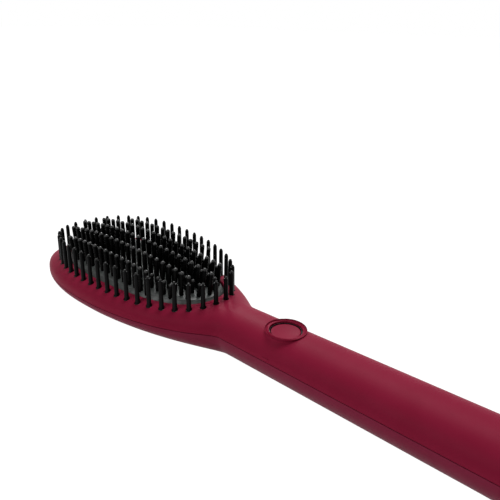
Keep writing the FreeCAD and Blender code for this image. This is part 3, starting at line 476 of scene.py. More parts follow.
def spoke_angles():
    """Angles of the spokes round a hole."""
    return [2.0 * math.pi * step / SPOKES for step in range(SPOKES)]


def arch_turns():
    """Turns at which the skins' patches meet across the brush."""
    eighth = SPOKES // 8
    return [math.tan(2.0 * math.pi * step / SPOKES) for step in range(-eighth, eighth + 1)]


def head_x(share):
    """Place along the head for a share of it, from -1 at the tip to 1 at the neck."""
    if share > 0:
        return share * HEAD_SPLIT
    return HEAD_TIP_REACH * math.sin(share * math.pi / 2.0)


def head_share(x):
    """Share of the head at a place along it."""
    if x > 0:
        return x / HEAD_SPLIT
    return math.asin(max(-1.0, x / HEAD_TIP_REACH)) * 2.0 / math.pi


def ring_shares(count, crowding):
    """Shares of the way from a hole to its patch's rim, close together at the hole."""
    return [(step / count) ** crowding for step in range(count + 1)]


def patch_rows(hole, along, shares, surface):
    """Rings of skin points between a hole and the rim of its patch."""
    rows = []
    for share in shares:
        row = []
        for angle in spoke_angles():
            start = Vector(hole(angle))
            spot = start.lerp(Vector(square_rim(angle)), share)
            row.append(surface(along(spot.x), spot.y))
        rows.append(row)
    return rows


def towards(point, centre_x):
    """Unit direction in plan from a skin point to a hole's middle."""
    return Vector((centre_x - point.x, -point.y, 0.0)).normalized()


def edge_rows(rim, centre_x, edge, floor, down):
    """Rounded edge of a hole and its wall, as rows that end at the rim's first ring."""
    rows = [[Vector((p.x, p.y, floor)) for p in rim]]
    for step in range(EDGE_STEPS):
        angle = math.pi / 2.0 * step / EDGE_STEPS
        drop = edge * (1.0 - math.sin(angle))
        reach = edge * (1.0 - math.cos(angle))
        rows.append([Vector((p.x, p.y, p.z + down * drop)) - towards(p, centre_x) * reach for p in rim])
    return rows


def patch_stations(along):
    """Places along a patch where its spokes reach the parting line."""
    return [along(turn) for turn in arch_turns()]


def head_patch(mesh):
    """Head of the front casing, round the plate's window; hands back its stations."""
    def hole(angle):
        """Edge of the window as a share of the head and a turn of its section."""
        x, y = window_point(angle)
        return head_share(x), turn_at(x, y, edge_power(x))
    rings = patch_rows(hole, head_x, ring_shares(HEAD_RINGS, HEAD_CROWDING), front_point)
    edge = edge_rows(rings[0], 0.0, WINDOW_EDGE, PLATE_BOTTOM - WINDOW_DROP, -1.0)
    add_rows(mesh, edge + rings[1:], True)
    return patch_stations(head_x)


def round_hole(centre, radius, half_length, power):
    """Place along a patch for a share of it, and the edge of the round hole in its middle."""
    def along(share):
        """Place along the patch."""
        return centre + share * half_length

    def hole(angle):
        """Edge of the hole as a share of the patch and a turn of its section."""
        x = centre + radius * math.cos(angle)
        turn = turn_at(x, radius * math.sin(angle), power(x))
        return (x - centre) / half_length, turn
    return along, hole


def neck_patch(mesh):
    """Neck of the front casing, round the button's well; hands back its stations."""
    along, hole = round_hole(BUTTON_X, WELL_RADIUS, NECK_HALF_LENGTH, edge_power)
    rings = patch_rows(hole, along, ring_shares(NECK_RINGS, NECK_CROWDING), front_point)
    edge = edge_rows(rings[0], BUTTON_X, WELL_EDGE, WELL_FLOOR, -1.0)
    add_rows(mesh, edge + rings[1:], True)
    return patch_stations(along)


def plain_stretch(mesh, stations, surface):
    """Stretch of a casing without holes."""
    add_rows(mesh, [[surface(x, turn) for turn in arch_turns()] for x in stations], False)


def stations_between(start, end):
    """Evenly spaced places along the brush."""
    count = max(1, round((end - start) / HANDLE_STEP))
    return [start + (end - start) * step / count for step in range(count + 1)]


def tip_stations(end):
    """Places from the tip to a place on the head, closest together at the tip."""
    quarter = [-HEAD_TIP_REACH * math.cos(math.pi / 2.0 * step / TIP_STEPS) for step in range(TIP_STEPS)]
    return quarter + stations_between(0.0, end)


def end_cap(mesh, surface, side):
    """End wall of the handle with a rounded edge, down to the gland's hole."""
    flat = HANDLE_REACH
    rim = [surface(flat - END_EDGE, turn) for turn in arch_turns()]
    rows = [rim]
    for step in range(1, END_STEPS + 1):
        angle = math.pi / 2.0 * step / END_STEPS
        draw_in = END_EDGE * (1.0 - math.cos(angle))
        x = flat - END_EDGE + END_EDGE * math.sin(angle)
        rows.append([Vector((x, p.y, p.z)) - Vector((0.0, p.y, p.z)).normalized() * draw_in for p in rim])
    for x in (flat, flat - END_WALL):
        row = []
        for turn in arch_turns():
            angle = (turn + 1.0) * math.pi / 2.0
            rise = max(GLAND_HOLE_RADIUS * math.sin(angle), PARTING_GROOVE)
            row.append(Vector((x, -GLAND_HOLE_RADIUS * math.cos(angle), side * rise)))
        rows.append(row)
    add_rows(mesh, rows, False)


def parting_line(stations):
    """Outline at the parting plane, from the near side of the handle round the tip to the far side."""
    near = [Vector((x, -plan_half_width(x), 0.0)) for x in reversed(stations)]
    far = [Vector((x, plan_half_width(x), 0.0)) for x in stations[1:]]
    return near + far


def parting_lip(mesh, stations, side):
    """Lip that closes the groove between the casings, with a tongue behind it."""
    line = parting_line(stations)
    rows = [[], [], []]
    for index, point in enumerate(line):
        before = line[max(0, index - 1)]
        after = line[min(len(line) - 1, index + 1)]
        run = (after - before).normalized()
        inside = point + Vector((run.y, -run.x, 0.0)) * GROOVE_DEPTH
        rows[0].append(Vector((point.x, point.y, side * PARTING_GROOVE)))
        rows[1].append(Vector((inside.x, inside.y, side * PARTING_GROOVE)))
        rows[2].append(Vector((inside.x, inside.y, -side * TONGUE_DROP)))
    add_rows(mesh, rows, False)


def hole_cutter():
    """Round bars where the feet of the cool bristles pass through the casing."""
    mesh = bmesh.new()
    profile = ((0.0, -HOLE_CUT_REACH), (FOOT_HOLE_RADIUS, -HOLE_CUT_REACH),
               (FOOT_HOLE_RADIUS, HOLE_CUT_REACH), (0.0, HOLE_CUT_REACH))
    for spot in ring_places():
        middle = (spot.x, spot.y, front_surface(spot.x, spot.y))
        add_rows(mesh, turned_rows(profile, "z", middle, FOOT_HOLE_SIDES), True)
    return mesh


def pierce(shell, mesh, material):
    """Cut bars out of a shell and keep the result as a plain mesh."""
    cutter = finish_object(mesh, "hole_cutter", material)
    cut = shell.modifiers.new("holes", "BOOLEAN")
    cut.operation = "DIFFERENCE"
    cut.solver = "EXACT"
    cut.use_self = True
    cut.object = cutter
    data = evaluated_mesh(shell)
    shell.modifiers.clear()
    shell.data = data
    data.set_sharp_from_angle(angle=math.radians(SHARP_ANGLE))
    bpy.data.objects.remove(cutter)


def front_shell(material):
    """Front casing: head with the window, neck with the collar, handle and rounded end."""
    mesh = bmesh.new()
    head = head_patch(mesh)
    neck = neck_patch(mesh)
    handle = stations_between(BUTTON_X + NECK_HALF_LENGTH, HANDLE_REACH - END_EDGE)
    plain_stretch(mesh, handle, front_point)
    end_cap(mesh, front_point, 1.0)
    parting_lip(mesh, head + neck[1:] + handle[1:], 1.0)
    shell = finish_object(mesh, "front_shell", material)
    add_wall(shell, SHELL_WALL)
    pierce(shell, hole_cutter(), material)
    return shell


def sink_patch(mesh, centre):
    """Stretch of the rear casing round a sunk case screw; hands back its stations."""
    along, hole = round_hole(centre, SINK_RADIUS, SINK_HALF_LENGTH, lambda x: REAR_POWER)
    rings = patch_rows(hole, along, ring_shares(SINK_RINGS, SINK_CROWDING), rear_point)
    floor = -REST_DEPTH + SCREW_SINK
    edge = edge_rows(rings[0], centre, SINK_EDGE, floor, 1.0)
    seat = [Vector((centre, 0.0, floor)).lerp(point, SINK_SEAT_SHARE) for point in edge[0]]
    add_rows(mesh, [seat] + edge + rings[1:], True)
    return patch_stations(along)


def rear_shell(material):
    """Rear casing: rounded back with the flat that it rests on and two screw sinks."""
    mesh = bmesh.new()
    stations = tip_stations(CASE_SCREW_PLACES[0] - SINK_HALF_LENGTH)
    plain_stretch(mesh, stations, rear_point)
    ends = (CASE_SCREW_PLACES[1] - SINK_HALF_LENGTH, HANDLE_REACH - END_EDGE)
    for centre, end in zip(CASE_SCREW_PLACES, ends):
        sink = sink_patch(mesh, centre)
        handle = stations_between(centre + SINK_HALF_LENGTH, end)
        plain_stretch(mesh, handle, rear_point)
        stations += sink[1:] + handle[1:]
    end_cap(mesh, rear_point, -1.0)
    parting_lip(mesh, stations, -1.0)
    shell = finish_object(mesh, "rear_shell", material)
    add_wall(shell, SHELL_WALL)
    return shell


# Heater plate


def plate_ring(inset, height):
    """Ring of the plate at an inset from its edge."""
    ring = []
    for angle in spoke_angles():
        x, y = oval_point(PLATE_HALF_WIDTH - inset, PLATE_TIP_REACH - inset, PLATE_NECK_REACH - inset, angle)
        ring.append(Vector((x, y, plate_top(x, y) if height is None else height)))
    return ring


def plate_cap(material):
    """Heater plate: a rim, a bevel and a dome."""
    mesh = bmesh.new()
    bevel_end = plate_top(PLATE_PEAK_X, PLATE_HALF_WIDTH)
    bevel_start = bevel_end - PLATE_BEVEL_DROP
    rows = [plate_ring(PLATE_FOOT_INSET, PLATE_BOTTOM),
            plate_ring(0.0, PLATE_BOTTOM + PLATE_FOOT_RISE),
            plate_ring(0.0, bevel_start - PLATE_BEVEL_LEAD)]
    for step in range(PLATE_BEVEL_STEPS + 1):
        share = step / PLATE_BEVEL_STEPS
        soft = PLATE_SOFT * math.sin(share * math.pi)
        rows.append(plate_ring(PLATE_BEVEL * share - soft, bevel_start + PLATE_BEVEL_DROP * share))
    edge = plate_ring(PLATE_BEVEL + PLATE_EDGE_INSET, None)
    crest = plate_ring(PLATE_BEVEL + PLATE_CREST_INSET, None)
    rows.append([point - Vector((0.0, 0.0, PLATE_SOFT)) for point in crest])
    rows.append(edge)
    for step in range(1, PLATE_DOME_RINGS + 1):
        share = 1.0 - step / PLATE_DOME_RINGS
        rows.append([Vector((p.x * share, p.y * share, plate_top(p.x * share, p.y * share))) for p in edge])
    add_rows(mesh, rows, True)
    return finish_object(mesh, "plate_cap", material, PLATE_SHARP_ANGLE)


# Node trees


def feed(tree, socket, value):
    """Link a value to a socket, or set it there when it is a plain one."""
    if isinstance(value, bpy.types.NodeSocket):
        tree.links.new(value, socket)
    else:
        socket.default_value = value


def set_inputs(tree, node, **inputs):
    """Set or link a node's inputs by name."""
    for key, value in inputs.items():
        feed(tree, node.inputs[key.replace("_", " ")], value)


def add_node(tree, kind, settings=None, **inputs):
    """Add a node, set its options, and set or link its inputs by name."""
    made = tree.nodes.new(kind)
    for option, value in (settings or {}).items():
        setattr(made, option, value)
    set_inputs(tree, made, **inputs)
    return made


def new_tree(name, sizes):
    """Start a Geometry Nodes tree with a named input for each size."""
    tree = bpy.data.node_groups.new(name, "GeometryNodeTree")
    face = tree.interface
    face.new_socket("Geometry", in_out="OUTPUT", socket_type="NodeSocketGeometry")
    face.new_socket("Geometry", in_out="INPUT", socket_type="NodeSocketGeometry")
    for label in sizes:
        kind = "NodeSocketInt" if label == "Sides" else "NodeSocketFloat"
        face.new_socket(label, in_out="INPUT", socket_type=kind)
    return tree, tree.nodes.new("NodeGroupInput").outputs


def number_sum(tree, operation, first, second):
    """Math node on two numbers."""
    made = tree.nodes.new("ShaderNodeMath")
    made.operation = operation
    for socket, value in zip(made.inputs, (first, second)):
        feed(tree, socket, value)
    return made.outputs[0]


def attribute(tree, name, kind):
    """Read a named attribute of the points."""
    made = add_node(tree, "GeometryNodeInputNamedAttribute", {"data_type": kind}, Name=name)
    return made.outputs["Attribute"]


def stand_up(tree, points, piece, lift, length=None):
    """Stand a piece on every point, along its lean, lifted and stretched by lengths."""
    lean = attribute(tree, "lean", "FLOAT_VECTOR")
    turn = add_node(tree, "FunctionNodeAlignRotationToVector", {"axis": "Z"}, Vector=lean).outputs[0]
    if lift is not None:
        offset = add_node(tree, "ShaderNodeVectorMath", {"operation": "SCALE"}, Vector=lean,
                          Scale=lift).outputs["Vector"]
        points = add_node(tree, "GeometryNodeSetPosition", Geometry=points, Offset=offset).outputs[0]
    stood = add_node(tree, "GeometryNodeInstanceOnPoints", Points=points, Instance=piece, Rotation=turn)
    if length is not None:
        stretch = add_node(tree, "ShaderNodeCombineXYZ", X=1.0, Y=1.0, Z=length).outputs[0]
        tree.links.new(stretch, stood.inputs["Scale"])
    return stood.outputs[0]


def open_cone(tree, sides, base, top, depth):
    """Side wall of a cone that stands on the origin."""
    return add_node(tree, "GeometryNodeMeshCone", {"fill_type": "NONE"}, Vertices=sides,
                    Radius_Bottom=base, Radius_Top=top, Depth=depth).outputs["Mesh"]


def dome(tree, sides, radius):
    """Upper half of a ball."""
    ball = add_node(tree, "GeometryNodeMeshUVSphere", Segments=sides, Rings=DOME_RINGS,
                    Radius=radius).outputs["Mesh"]
    height = add_node(tree, "ShaderNodeSeparateXYZ",
                      Vector=tree.nodes.new("GeometryNodeInputPosition").outputs[0]).outputs["Z"]
    below = number_sum(tree, "LESS_THAN", height, -THIN * MM)
    return add_node(tree, "GeometryNodeDeleteGeometry", {"domain": "FACE"}, Geometry=ball,
                    Selection=below).outputs[0]


def painted(tree, geometry, material):
    """Give the pieces of a tree their material."""
    return add_node(tree, "GeometryNodeSetMaterial", Geometry=geometry, Material=material).outputs[0]


def close_tree(tree, pieces):
    """Join a tree's pieces, make them real and hand them out."""
    joined = tree.nodes.new("GeometryNodeJoinGeometry")
    for piece in pieces:
        tree.links.new(piece, joined.inputs[0])
    real = add_node(tree, "GeometryNodeRealizeInstances", Geometry=joined.outputs[0]).outputs[0]
    welded = add_node(tree, "GeometryNodeMergeByDistance", Geometry=real,
                      Distance=TREE_WELD_DISTANCE * MM).outputs[0]
    smooth = add_node(tree, "GeometryNodeSetShadeSmooth", Geometry=welded).outputs[0]
    tree.links.new(smooth, tree.nodes.new("NodeGroupOutput").inputs[0])


def seed_points(name, seeds):
    """Points with a lean and a length each, for a tree to work on."""
    data = bpy.data.meshes.new(name)
    data.from_pydata([place(spot) for spot, lean, length in seeds], [], [])
    data.attributes.new("lean", "FLOAT_VECTOR", "POINT")
    data.attributes.new("length", "FLOAT", "POINT")
    leans = [value for spot, lean, length in seeds for value in Vector(lean).normalized()]
    data.attributes["lean"].data.foreach_set("vector", leans)
    data.attributes["length"].data.foreach_set("value", [length * MM for spot, lean, length in seeds])
    return add_object(name, data)


def grown_object(name, seeds, tree, sizes, sharp):
    """Run a tree on its points and keep the result as a plain mesh."""
    source = seed_points(name + "_points", seeds)
    grower = source.modifiers.new("grower", "NODES")
    grower.node_group = tree
    for socket in tree.interface.items_tree:
        if socket.in_out == "INPUT" and socket.name in sizes:
            grower[socket.identifier] = sizes[socket.name]
    data = evaluated_mesh(source)
    data.name = name
    data.set_sharp_from_angle(angle=math.radians(sharp))
    bpy.data.objects.remove(source)
    return add_object(name, data)


# Pins, bristles and screws


def pin_tree(shaft_material, tip_material):
    """Tree that grows pins with polished round tips."""
    tree, given = new_tree("heated_pin_rows", ("Sides", "Pin Radius"))
    length = attribute(tree, "length", "FLOAT")
    shaft = open_cone(tree, given["Sides"], given["Pin Radius"], given["Pin Radius"], 1.0)
    tip = dome(tree, given["Sides"], given["Pin Radius"])
    shafts = painted(tree, stand_up(tree, given["Geometry"], shaft, None, length), shaft_material)
    tips = painted(tree, stand_up(tree, given["Geometry"], tip, length), tip_material)
    close_tree(tree, [shafts, tips])
    return tree


def bristle_tree(stem_material, cap_material):
    """Tree that grows tapered bristles, each with a foot and a capped nub."""
    labels = ("Sides", "Foot Radius", "Foot Height", "Base Radius", "Top Radius",
              "Neck Radius", "Neck Height", "Nub Radius", "Nub Height")
    tree, given = new_tree("cool_bristle_ring", labels)
    sides, foot, foot_rise, base, top, neck, neck_rise, nub, nub_rise = (given[label] for label in labels)
    points = given["Geometry"]
    length = attribute(tree, "length", "FLOAT")
    rim = number_sum(tree, "MULTIPLY", foot, FOOT_RIM_SHARE)
    rim_rise = number_sum(tree, "MULTIPLY", foot_rise, FOOT_RIM_RISE)
    foot_end = number_sum(tree, "ADD", foot_rise, rim_rise)
    neck_end = number_sum(tree, "ADD", length, neck_rise)
    nub_end = number_sum(tree, "ADD", neck_end, nub_rise)

    def ring(lower, upper, depth, lift):
        """Ring of every bristle between two radii, lifted along it."""
        return stand_up(tree, points, open_cone(tree, sides, lower, upper, depth), lift)
    stem = open_cone(tree, sides, base, top, 1.0)
    dark = [ring(foot, foot, foot_rise, None),
            ring(foot, rim, rim_rise, foot_rise),
            ring(rim, base, THIN * MM, foot_end),
            ring(neck, neck, neck_rise, length),
            ring(neck, nub, THIN * MM, neck_end),
            ring(nub, nub, nub_rise, neck_end),
            stand_up(tree, points, dome(tree, sides, nub), nub_end)]
    grey = [stand_up(tree, points, stem, None, length),
            ring(top, neck, THIN * MM, length)]
    pieces = [painted(tree, piece, cap_material) for piece in dark]
    pieces += [painted(tree, piece, stem_material) for piece in grey]
    close_tree(tree, pieces)
    return tree


def screw_tree(material):
    """Tree that sets cross-recessed pan head screws."""
    labels = ("Sides", "Shank Radius", "Head Radius", "Head Height", "Recess Reach", "Recess Width")
    tree, given = new_tree("sunk_case_screws", labels)
    points = given["Geometry"]
    crown_radius = number_sum(tree, "MULTIPLY", given["Head Radius"], SCREW_CROWN_SHARE)
    recess_depth = number_sum(tree, "MULTIPLY", given["Head Height"], SCREW_RECESS_SHARE)
    head = add_node(tree, "GeometryNodeMeshCone", Vertices=given["Sides"], Radius_Bottom=given["Head Radius"],
                    Radius_Top=crown_radius, Depth=given["Head Height"]).outputs["Mesh"]
    for long_way in ("X", "Y"):
        size = add_node(tree, "ShaderNodeCombineXYZ", X=given["Recess Width"], Y=given["Recess Width"],
                        Z=recess_depth)
        tree.links.new(given["Recess Reach"], size.inputs[long_way])
        bar = add_node(tree, "GeometryNodeMeshCube", Size=size.outputs[0]).outputs["Mesh"]
        lift = add_node(tree, "ShaderNodeCombineXYZ", Z=given["Head Height"]).outputs[0]
        bar = add_node(tree, "GeometryNodeTransform", Geometry=bar, Translation=lift).outputs[0]
        cut = add_node(tree, "GeometryNodeMeshBoolean", {"operation": "DIFFERENCE"})
        tree.links.new(head, cut.inputs[0])
        tree.links.new(bar, cut.inputs[1])
        head = cut.outputs["Mesh"]
    shank = open_cone(tree, given["Sides"], given["Shank Radius"], given["Shank Radius"], 1.0)
    flip = attribute(tree, "length", "FLOAT")
    pieces = [stand_up(tree, points, head, None), stand_up(tree, points, shank, None, flip)]
    close_tree(tree, [painted(tree, piece, material) for piece in pieces])
    return tree


def inside_plate(x, y):
    """Whether a pin can stand at this place of the plate."""
    reach = (PLATE_NECK_REACH if x > 0 else PLATE_TIP_REACH) - PIN_MARGIN
    half_width = PLATE_HALF_WIDTH - PIN_MARGIN
    return abs(x / reach) ** PLAN_POWER + abs(y / half_width) ** PLAN_POWER < 1.0


def pin_top(x, y):
    """Height of a tall pin's tip over a place of the plate."""
    reach, drop = (PLATE_NECK_REACH, PIN_NECK_DROP) if x > 0 else (PLATE_TIP_REACH, PIN_TIP_DROP)
    side = y / (PIN_ROWS_EACH_SIDE * PIN_ROW_PITCH)
    return PIN_TOP - drop * (x / reach) ** 2 - PIN_SIDE_DROP * side ** 2


def pin_seeds(shift, radius, lower):
    """Places, leans and lengths of the pins, shifted by a share of the row and pin pitch."""
    seeds = []
    columns = int((PLATE_TIP_REACH + PLATE_NECK_REACH) / PIN_PITCH) + 1
    outermost = PIN_ROWS_EACH_SIDE * PIN_ROW_PITCH
    for row in range(-PIN_ROWS_EACH_SIDE, PIN_ROWS_EACH_SIDE + 1):
        y = (row + shift) * PIN_ROW_PITCH
        for column in range(-columns, columns + 1):
            x = PIN_GRID_START + (column + shift) * PIN_PITCH
            if abs(y) > outermost or not inside_plate(x, y):
                continue
            lean = ((x - PLATE_PEAK_X) * PIN_FAN, y * PIN_FAN, 1.0)
            seat = plate_top(x, y) - PIN_SINK
            seeds.append(((x, y, seat), lean, pin_top(x, y) - lower - radius - seat))
    return seeds


def pin_object(name, tree, shift, radius, lower):
    """One set of heated pins."""
    sizes = {"Sides": PIN_SIDES, "Pin Radius": radius * MM}
    return grown_object(name, pin_seeds(shift, radius, lower), tree, sizes, PIN_SHARP_ANGLE)


def ring_places():
    """Feet of the cool bristles, evenly spaced round their ring, with none on the middle line."""
    samples = 4000
    angles = [2.0 * math.pi * step / samples for step in range(samples + 1)]
    dense = [Vector(oval_point(RING_HALF_WIDTH, RING_TIP_REACH, RING_NECK_REACH, angle)) for angle in angles]
    lengths = [0.0]
    for first, second in zip(dense, dense[1:]):
        lengths.append(lengths[-1] + (second - first).length)
    places = []
    index = 0
    for step in range(BRISTLE_COUNT):
        target = lengths[-1] * (step + 0.5) / BRISTLE_COUNT
        while lengths[index + 1] < target:
            index += 1
        places.append(dense[index])
    return places


def bristle_top(x):
    """Height of a cool bristle's tip."""
    if x < 0:
        return BRISTLE_TOP - BRISTLE_TIP_DROP * (x / RING_TIP_REACH) ** 2
    return BRISTLE_TOP - BRISTLE_NECK_DROP * (x / RING_NECK_REACH) ** 2


def bristle_object(tree):
    """Ring of cool bristles round the plate."""
    seeds = []
    for spot in ring_places():
        seat = front_surface(spot.x, spot.y) - FOOT_SINK
        nub_start = bristle_top(spot.x) - BRISTLE_NUB_HEIGHT
        seeds.append(((spot.x, spot.y, seat), (0.0, 0.0, 1.0), nub_start - seat))
    sizes = {
        "Sides": BRISTLE_SIDES,
        "Foot Radius": FOOT_RADIUS * MM,
        "Foot Height": (FOOT_SINK - FOOT_DROP) / (1.0 + FOOT_RIM_RISE) * MM,
        "Base Radius": BRISTLE_BASE_RADIUS * MM,
        "Top Radius": BRISTLE_TOP_RADIUS * MM,
        "Neck Radius": BRISTLE_NECK_SHARE * BRISTLE_NUB_RADIUS * MM,
        "Neck Height": BRISTLE_NECK_HEIGHT * MM,
        "Nub Radius": BRISTLE_NUB_RADIUS * MM,
        "Nub Height": (BRISTLE_NUB_HEIGHT - BRISTLE_NECK_HEIGHT - BRISTLE_NUB_RADIUS) * MM,
    }
    return grown_object("bristle_ring", seeds, tree, sizes, BRISTLE_SHARP_ANGLE)


def screw_object(tree):
    """Case screws in the sinks of the rear casing."""
    seat = -REST_DEPTH + SCREW_SINK
    seeds = [((x, 0.0, seat), (0.0, 0.0, -1.0), seat - SCREW_GRIP) for x in CASE_SCREW_PLACES]
    sizes = {
        "Sides": SCREW_SIDES,
        "Shank Radius": SCREW_RADIUS * MM,
        "Head Radius": SCREW_HEAD_RADIUS * MM,
        "Head Height": SCREW_HEAD_HEIGHT * MM,
        "Recess Reach": SCREW_RECESS_REACH * MM,
        "Recess Width": SCREW_RECESS_WIDTH * MM,
    }
    return grown_object("sunk_screws", seeds, tree, sizes, SHARP_ANGLE)


# Turned pieces


def button_disc(material):
    """Power button with a shallow dish and a soft edge."""
    reach = BUTTON_RADIUS - BUTTON_DISH
    ball = (reach ** 2 + BUTTON_DISH ** 2) / (2.0 * BUTTON_DISH)
    flange = BUTTON_RADIUS + BUTTON_FLANGE
    profile = [(0.0, BUTTON_BOTTOM), (flange, BUTTON_BOTTOM), (flange, BUTTON_FLANGE_TOP),
               (BUTTON_RADIUS, BUTTON_FLANGE_TOP), (BUTTON_RADIUS, BUTTON_TOP), (reach, BUTTON_TOP)]
    profile = rounded(profile, BUTTON_EDGE)
    for step in range(BUTTON_DISH_STEPS + 1):
        radius = reach * (1.0 - step / BUTTON_DISH_STEPS)
        profile.append((radius, BUTTON_TOP - BUTTON_DISH + ball - math.sqrt(ball ** 2 - radius ** 2)))
    return turned_object("button_disc", profile, "z", (BUTTON_X, 0.0, 0.0), material)


def ring_lens(material):
    """Light ring round the button, lining its well; its near-black colour is painted shade of the well's
    wall.
    """
    flange = LIGHT_RING_OUTER + LIGHT_RING_FLANGE
    profile = [(LIGHT_RING_INNER, BUTTON_FLANGE_TOP), (flange, BUTTON_FLANGE_TOP),
               (flange, COLLAR_UNDERSIDE), (LIGHT_RING_OUTER, COLLAR_UNDERSIDE),
               (LIGHT_RING_OUTER, LIGHT_RING_TOP), (LIGHT_RING_INNER, LIGHT_RING_TOP),
               (LIGHT_RING_INNER, BUTTON_FLANGE_TOP)]
    profile = rounded(profile, LIGHT_RING_EDGE, steps=3)
    return turned_object("ring_lens", profile, "z", (BUTTON_X, 0.0, 0.0), material)


def gland_sleeve(material):
    """Swivel gland with a flange, a neck and a tapered sleeve."""
    profile = [(GLAND_BORE, GLAND_FLANGE_START), (GLAND_FLANGE_RADIUS, GLAND_FLANGE_START),
               (GLAND_FLANGE_RADIUS, GLAND_FLANGE_END), (GLAND_NECK_RADIUS, GLAND_FLANGE_END),
               (GLAND_NECK_RADIUS, GLAND_SLEEVE_START), (GLAND_SLEEVE_RADIUS, GLAND_SLEEVE_START),
               (GLAND_TIP_RADIUS, GLAND_END), (GLAND_BORE, GLAND_END), (GLAND_BORE, GLAND_FLANGE_START)]
    return turned_object("gland_sleeve", rounded(profile, GLAND_EDGE), "x", (0.0, 0.0, 0.0), material)


# Materials


def new_finish(name):
    """Start a material: its tree, its shader and its Object coordinates."""
    material = bpy.data.materials.new(name)
    material.use_nodes = True
    tree = material.node_tree
    coordinates = tree.nodes.new("ShaderNodeTexCoord").outputs["Object"]
    return material, tree, tree.nodes["Principled BSDF"], coordinates


def noise(tree, coordinates, size, detail=2.0):
    """Noise whose features are about a size in millimetres."""
    return add_node(tree, "ShaderNodeTexNoise", Vector=coordinates, Scale=1.0 / (size * MM), Detail=detail,
                    Roughness=0.55).outputs["Fac"]


def uneven_gloss(tree, shader, source, low, high):
    """Vary a finish's roughness over a range, by a noise."""
    rough = add_node(tree, "ShaderNodeMapRange", Value=source, From_Min=NOISE_LOW, From_Max=NOISE_HIGH,
                     To_Min=low, To_Max=high)
    tree.links.new(rough.outputs["Result"], shader.inputs["Roughness"])


def tint(tree, shader, source, dark, light):
    """Vary a finish's colour between two tones, by a noise."""
    ramp = add_node(tree, "ShaderNodeValToRGB", Fac=source)
    for stop, spot, tone in zip(ramp.color_ramp.elements, (NOISE_LOW, NOISE_HIGH), (dark, light)):
        stop.position = spot
        stop.color = tone + (1.0,)
    tree.links.new(ramp.outputs["Color"], shader.inputs["Base Color"])


def grain(tree, shader, source, strength, depth):
    """Surface grain, with its depth in millimetres."""
    made = add_node(tree, "ShaderNodeBump", Strength=strength, Distance=depth * MM, Height=source)
    tree.links.new(made.outputs["Normal"], shader.inputs["Normal"])


def soft_touch(name, dark, light, rough):
    """Matt soft-touch coating: fine grain, a faint bloom and slightly uneven gloss."""
    material, tree, shader, coordinates = new_finish(name)
    cloud = noise(tree, coordinates, size=14.0, detail=3.0)
    fine = noise(tree, coordinates, size=0.28)
    patches = noise(tree, coordinates, size=5.0, detail=4.0)
    tint(tree, shader, cloud, dark, light)
    uneven_gloss(tree, shader, patches, rough - 0.03, rough + 0.03)
    grain(tree, shader, fine, strength=0.18, depth=0.03)
    set_inputs(tree, shader, Specular_IOR_Level=0.03, Sheen_Weight=0.015, Sheen_Roughness=0.5,
               Sheen_Tint=(1.0, 0.75, 0.82, 1.0))
    return material


def moulded(name, dark, light, rough, size=3.0, specular=0.4):
    """Moulded plastic: uneven tone, fine grain and uneven gloss."""
    material, tree, shader, coordinates = new_finish(name)
    tone = noise(tree, coordinates, size, detail=3.0)
    fine = noise(tree, coordinates, size=0.2)
    tint(tree, shader, tone, dark, light)
    uneven_gloss(tree, shader, tone, rough - 0.05, rough + 0.05)
    grain(tree, shader, fine, strength=0.12, depth=0.02)
    set_inputs(tree, shader, Specular_IOR_Level=specular)
    return material


def plated(name, dark, light, rough):
    """Metal with rolling streaks and small tarnish."""
    material, tree, shader, coordinates = new_finish(name)
    streaks = add_node(tree, "ShaderNodeMapping", Vector=coordinates, Scale=(1.0, 8.0, 8.0)).outputs[0]
    brushed = noise(tree, streaks, size=1.6, detail=3.0)
    tarnish = noise(tree, coordinates, size=4.0, detail=4.0)
    tint(tree, shader, tarnish, dark, light)
    uneven_gloss(tree, shader, brushed, rough - 0.08, rough + 0.08)
    grain(tree, shader, brushed, strength=0.1, depth=0.02)
    set_inputs(tree, shader, Metallic=1.0)
    return material


def coated_plate(name):
    """Dark ceramic coating of the heater plate: speckled, satin, with a faint green cast."""
    material, tree, shader, coordinates = new_finish(name)
    speckle = noise(tree, coordinates, size=0.5, detail=3.0)
    cloud = noise(tree, coordinates, size=9.0)
    speckle_share = 0.6
    mixed = number_sum(tree, "ADD", number_sum(tree, "MULTIPLY", speckle, speckle_share),
                       number_sum(tree, "MULTIPLY", cloud, 1.0 - speckle_share))
    tint(tree, shader, mixed, dark=(0.040, 0.045, 0.043), light=(0.058, 0.065, 0.062))
    uneven_gloss(tree, shader, cloud, low=0.36, high=0.44)
    grain(tree, shader, speckle, strength=0.12, depth=0.02)
    return material


def lacquered(name, colour, rough):
    """Tinted, lacquered plastic with slight flow marks."""
    material, tree, shader, coordinates = new_finish(name)
    flow = noise(tree, coordinates, size=2.5)
    darker = tuple(0.8 * value for value in colour)
    tint(tree, shader, flow, darker, colour)
    uneven_gloss(tree, shader, flow, rough, rough + 0.06)
    set_inputs(tree, shader, Coat_Weight=0.3)
    return material


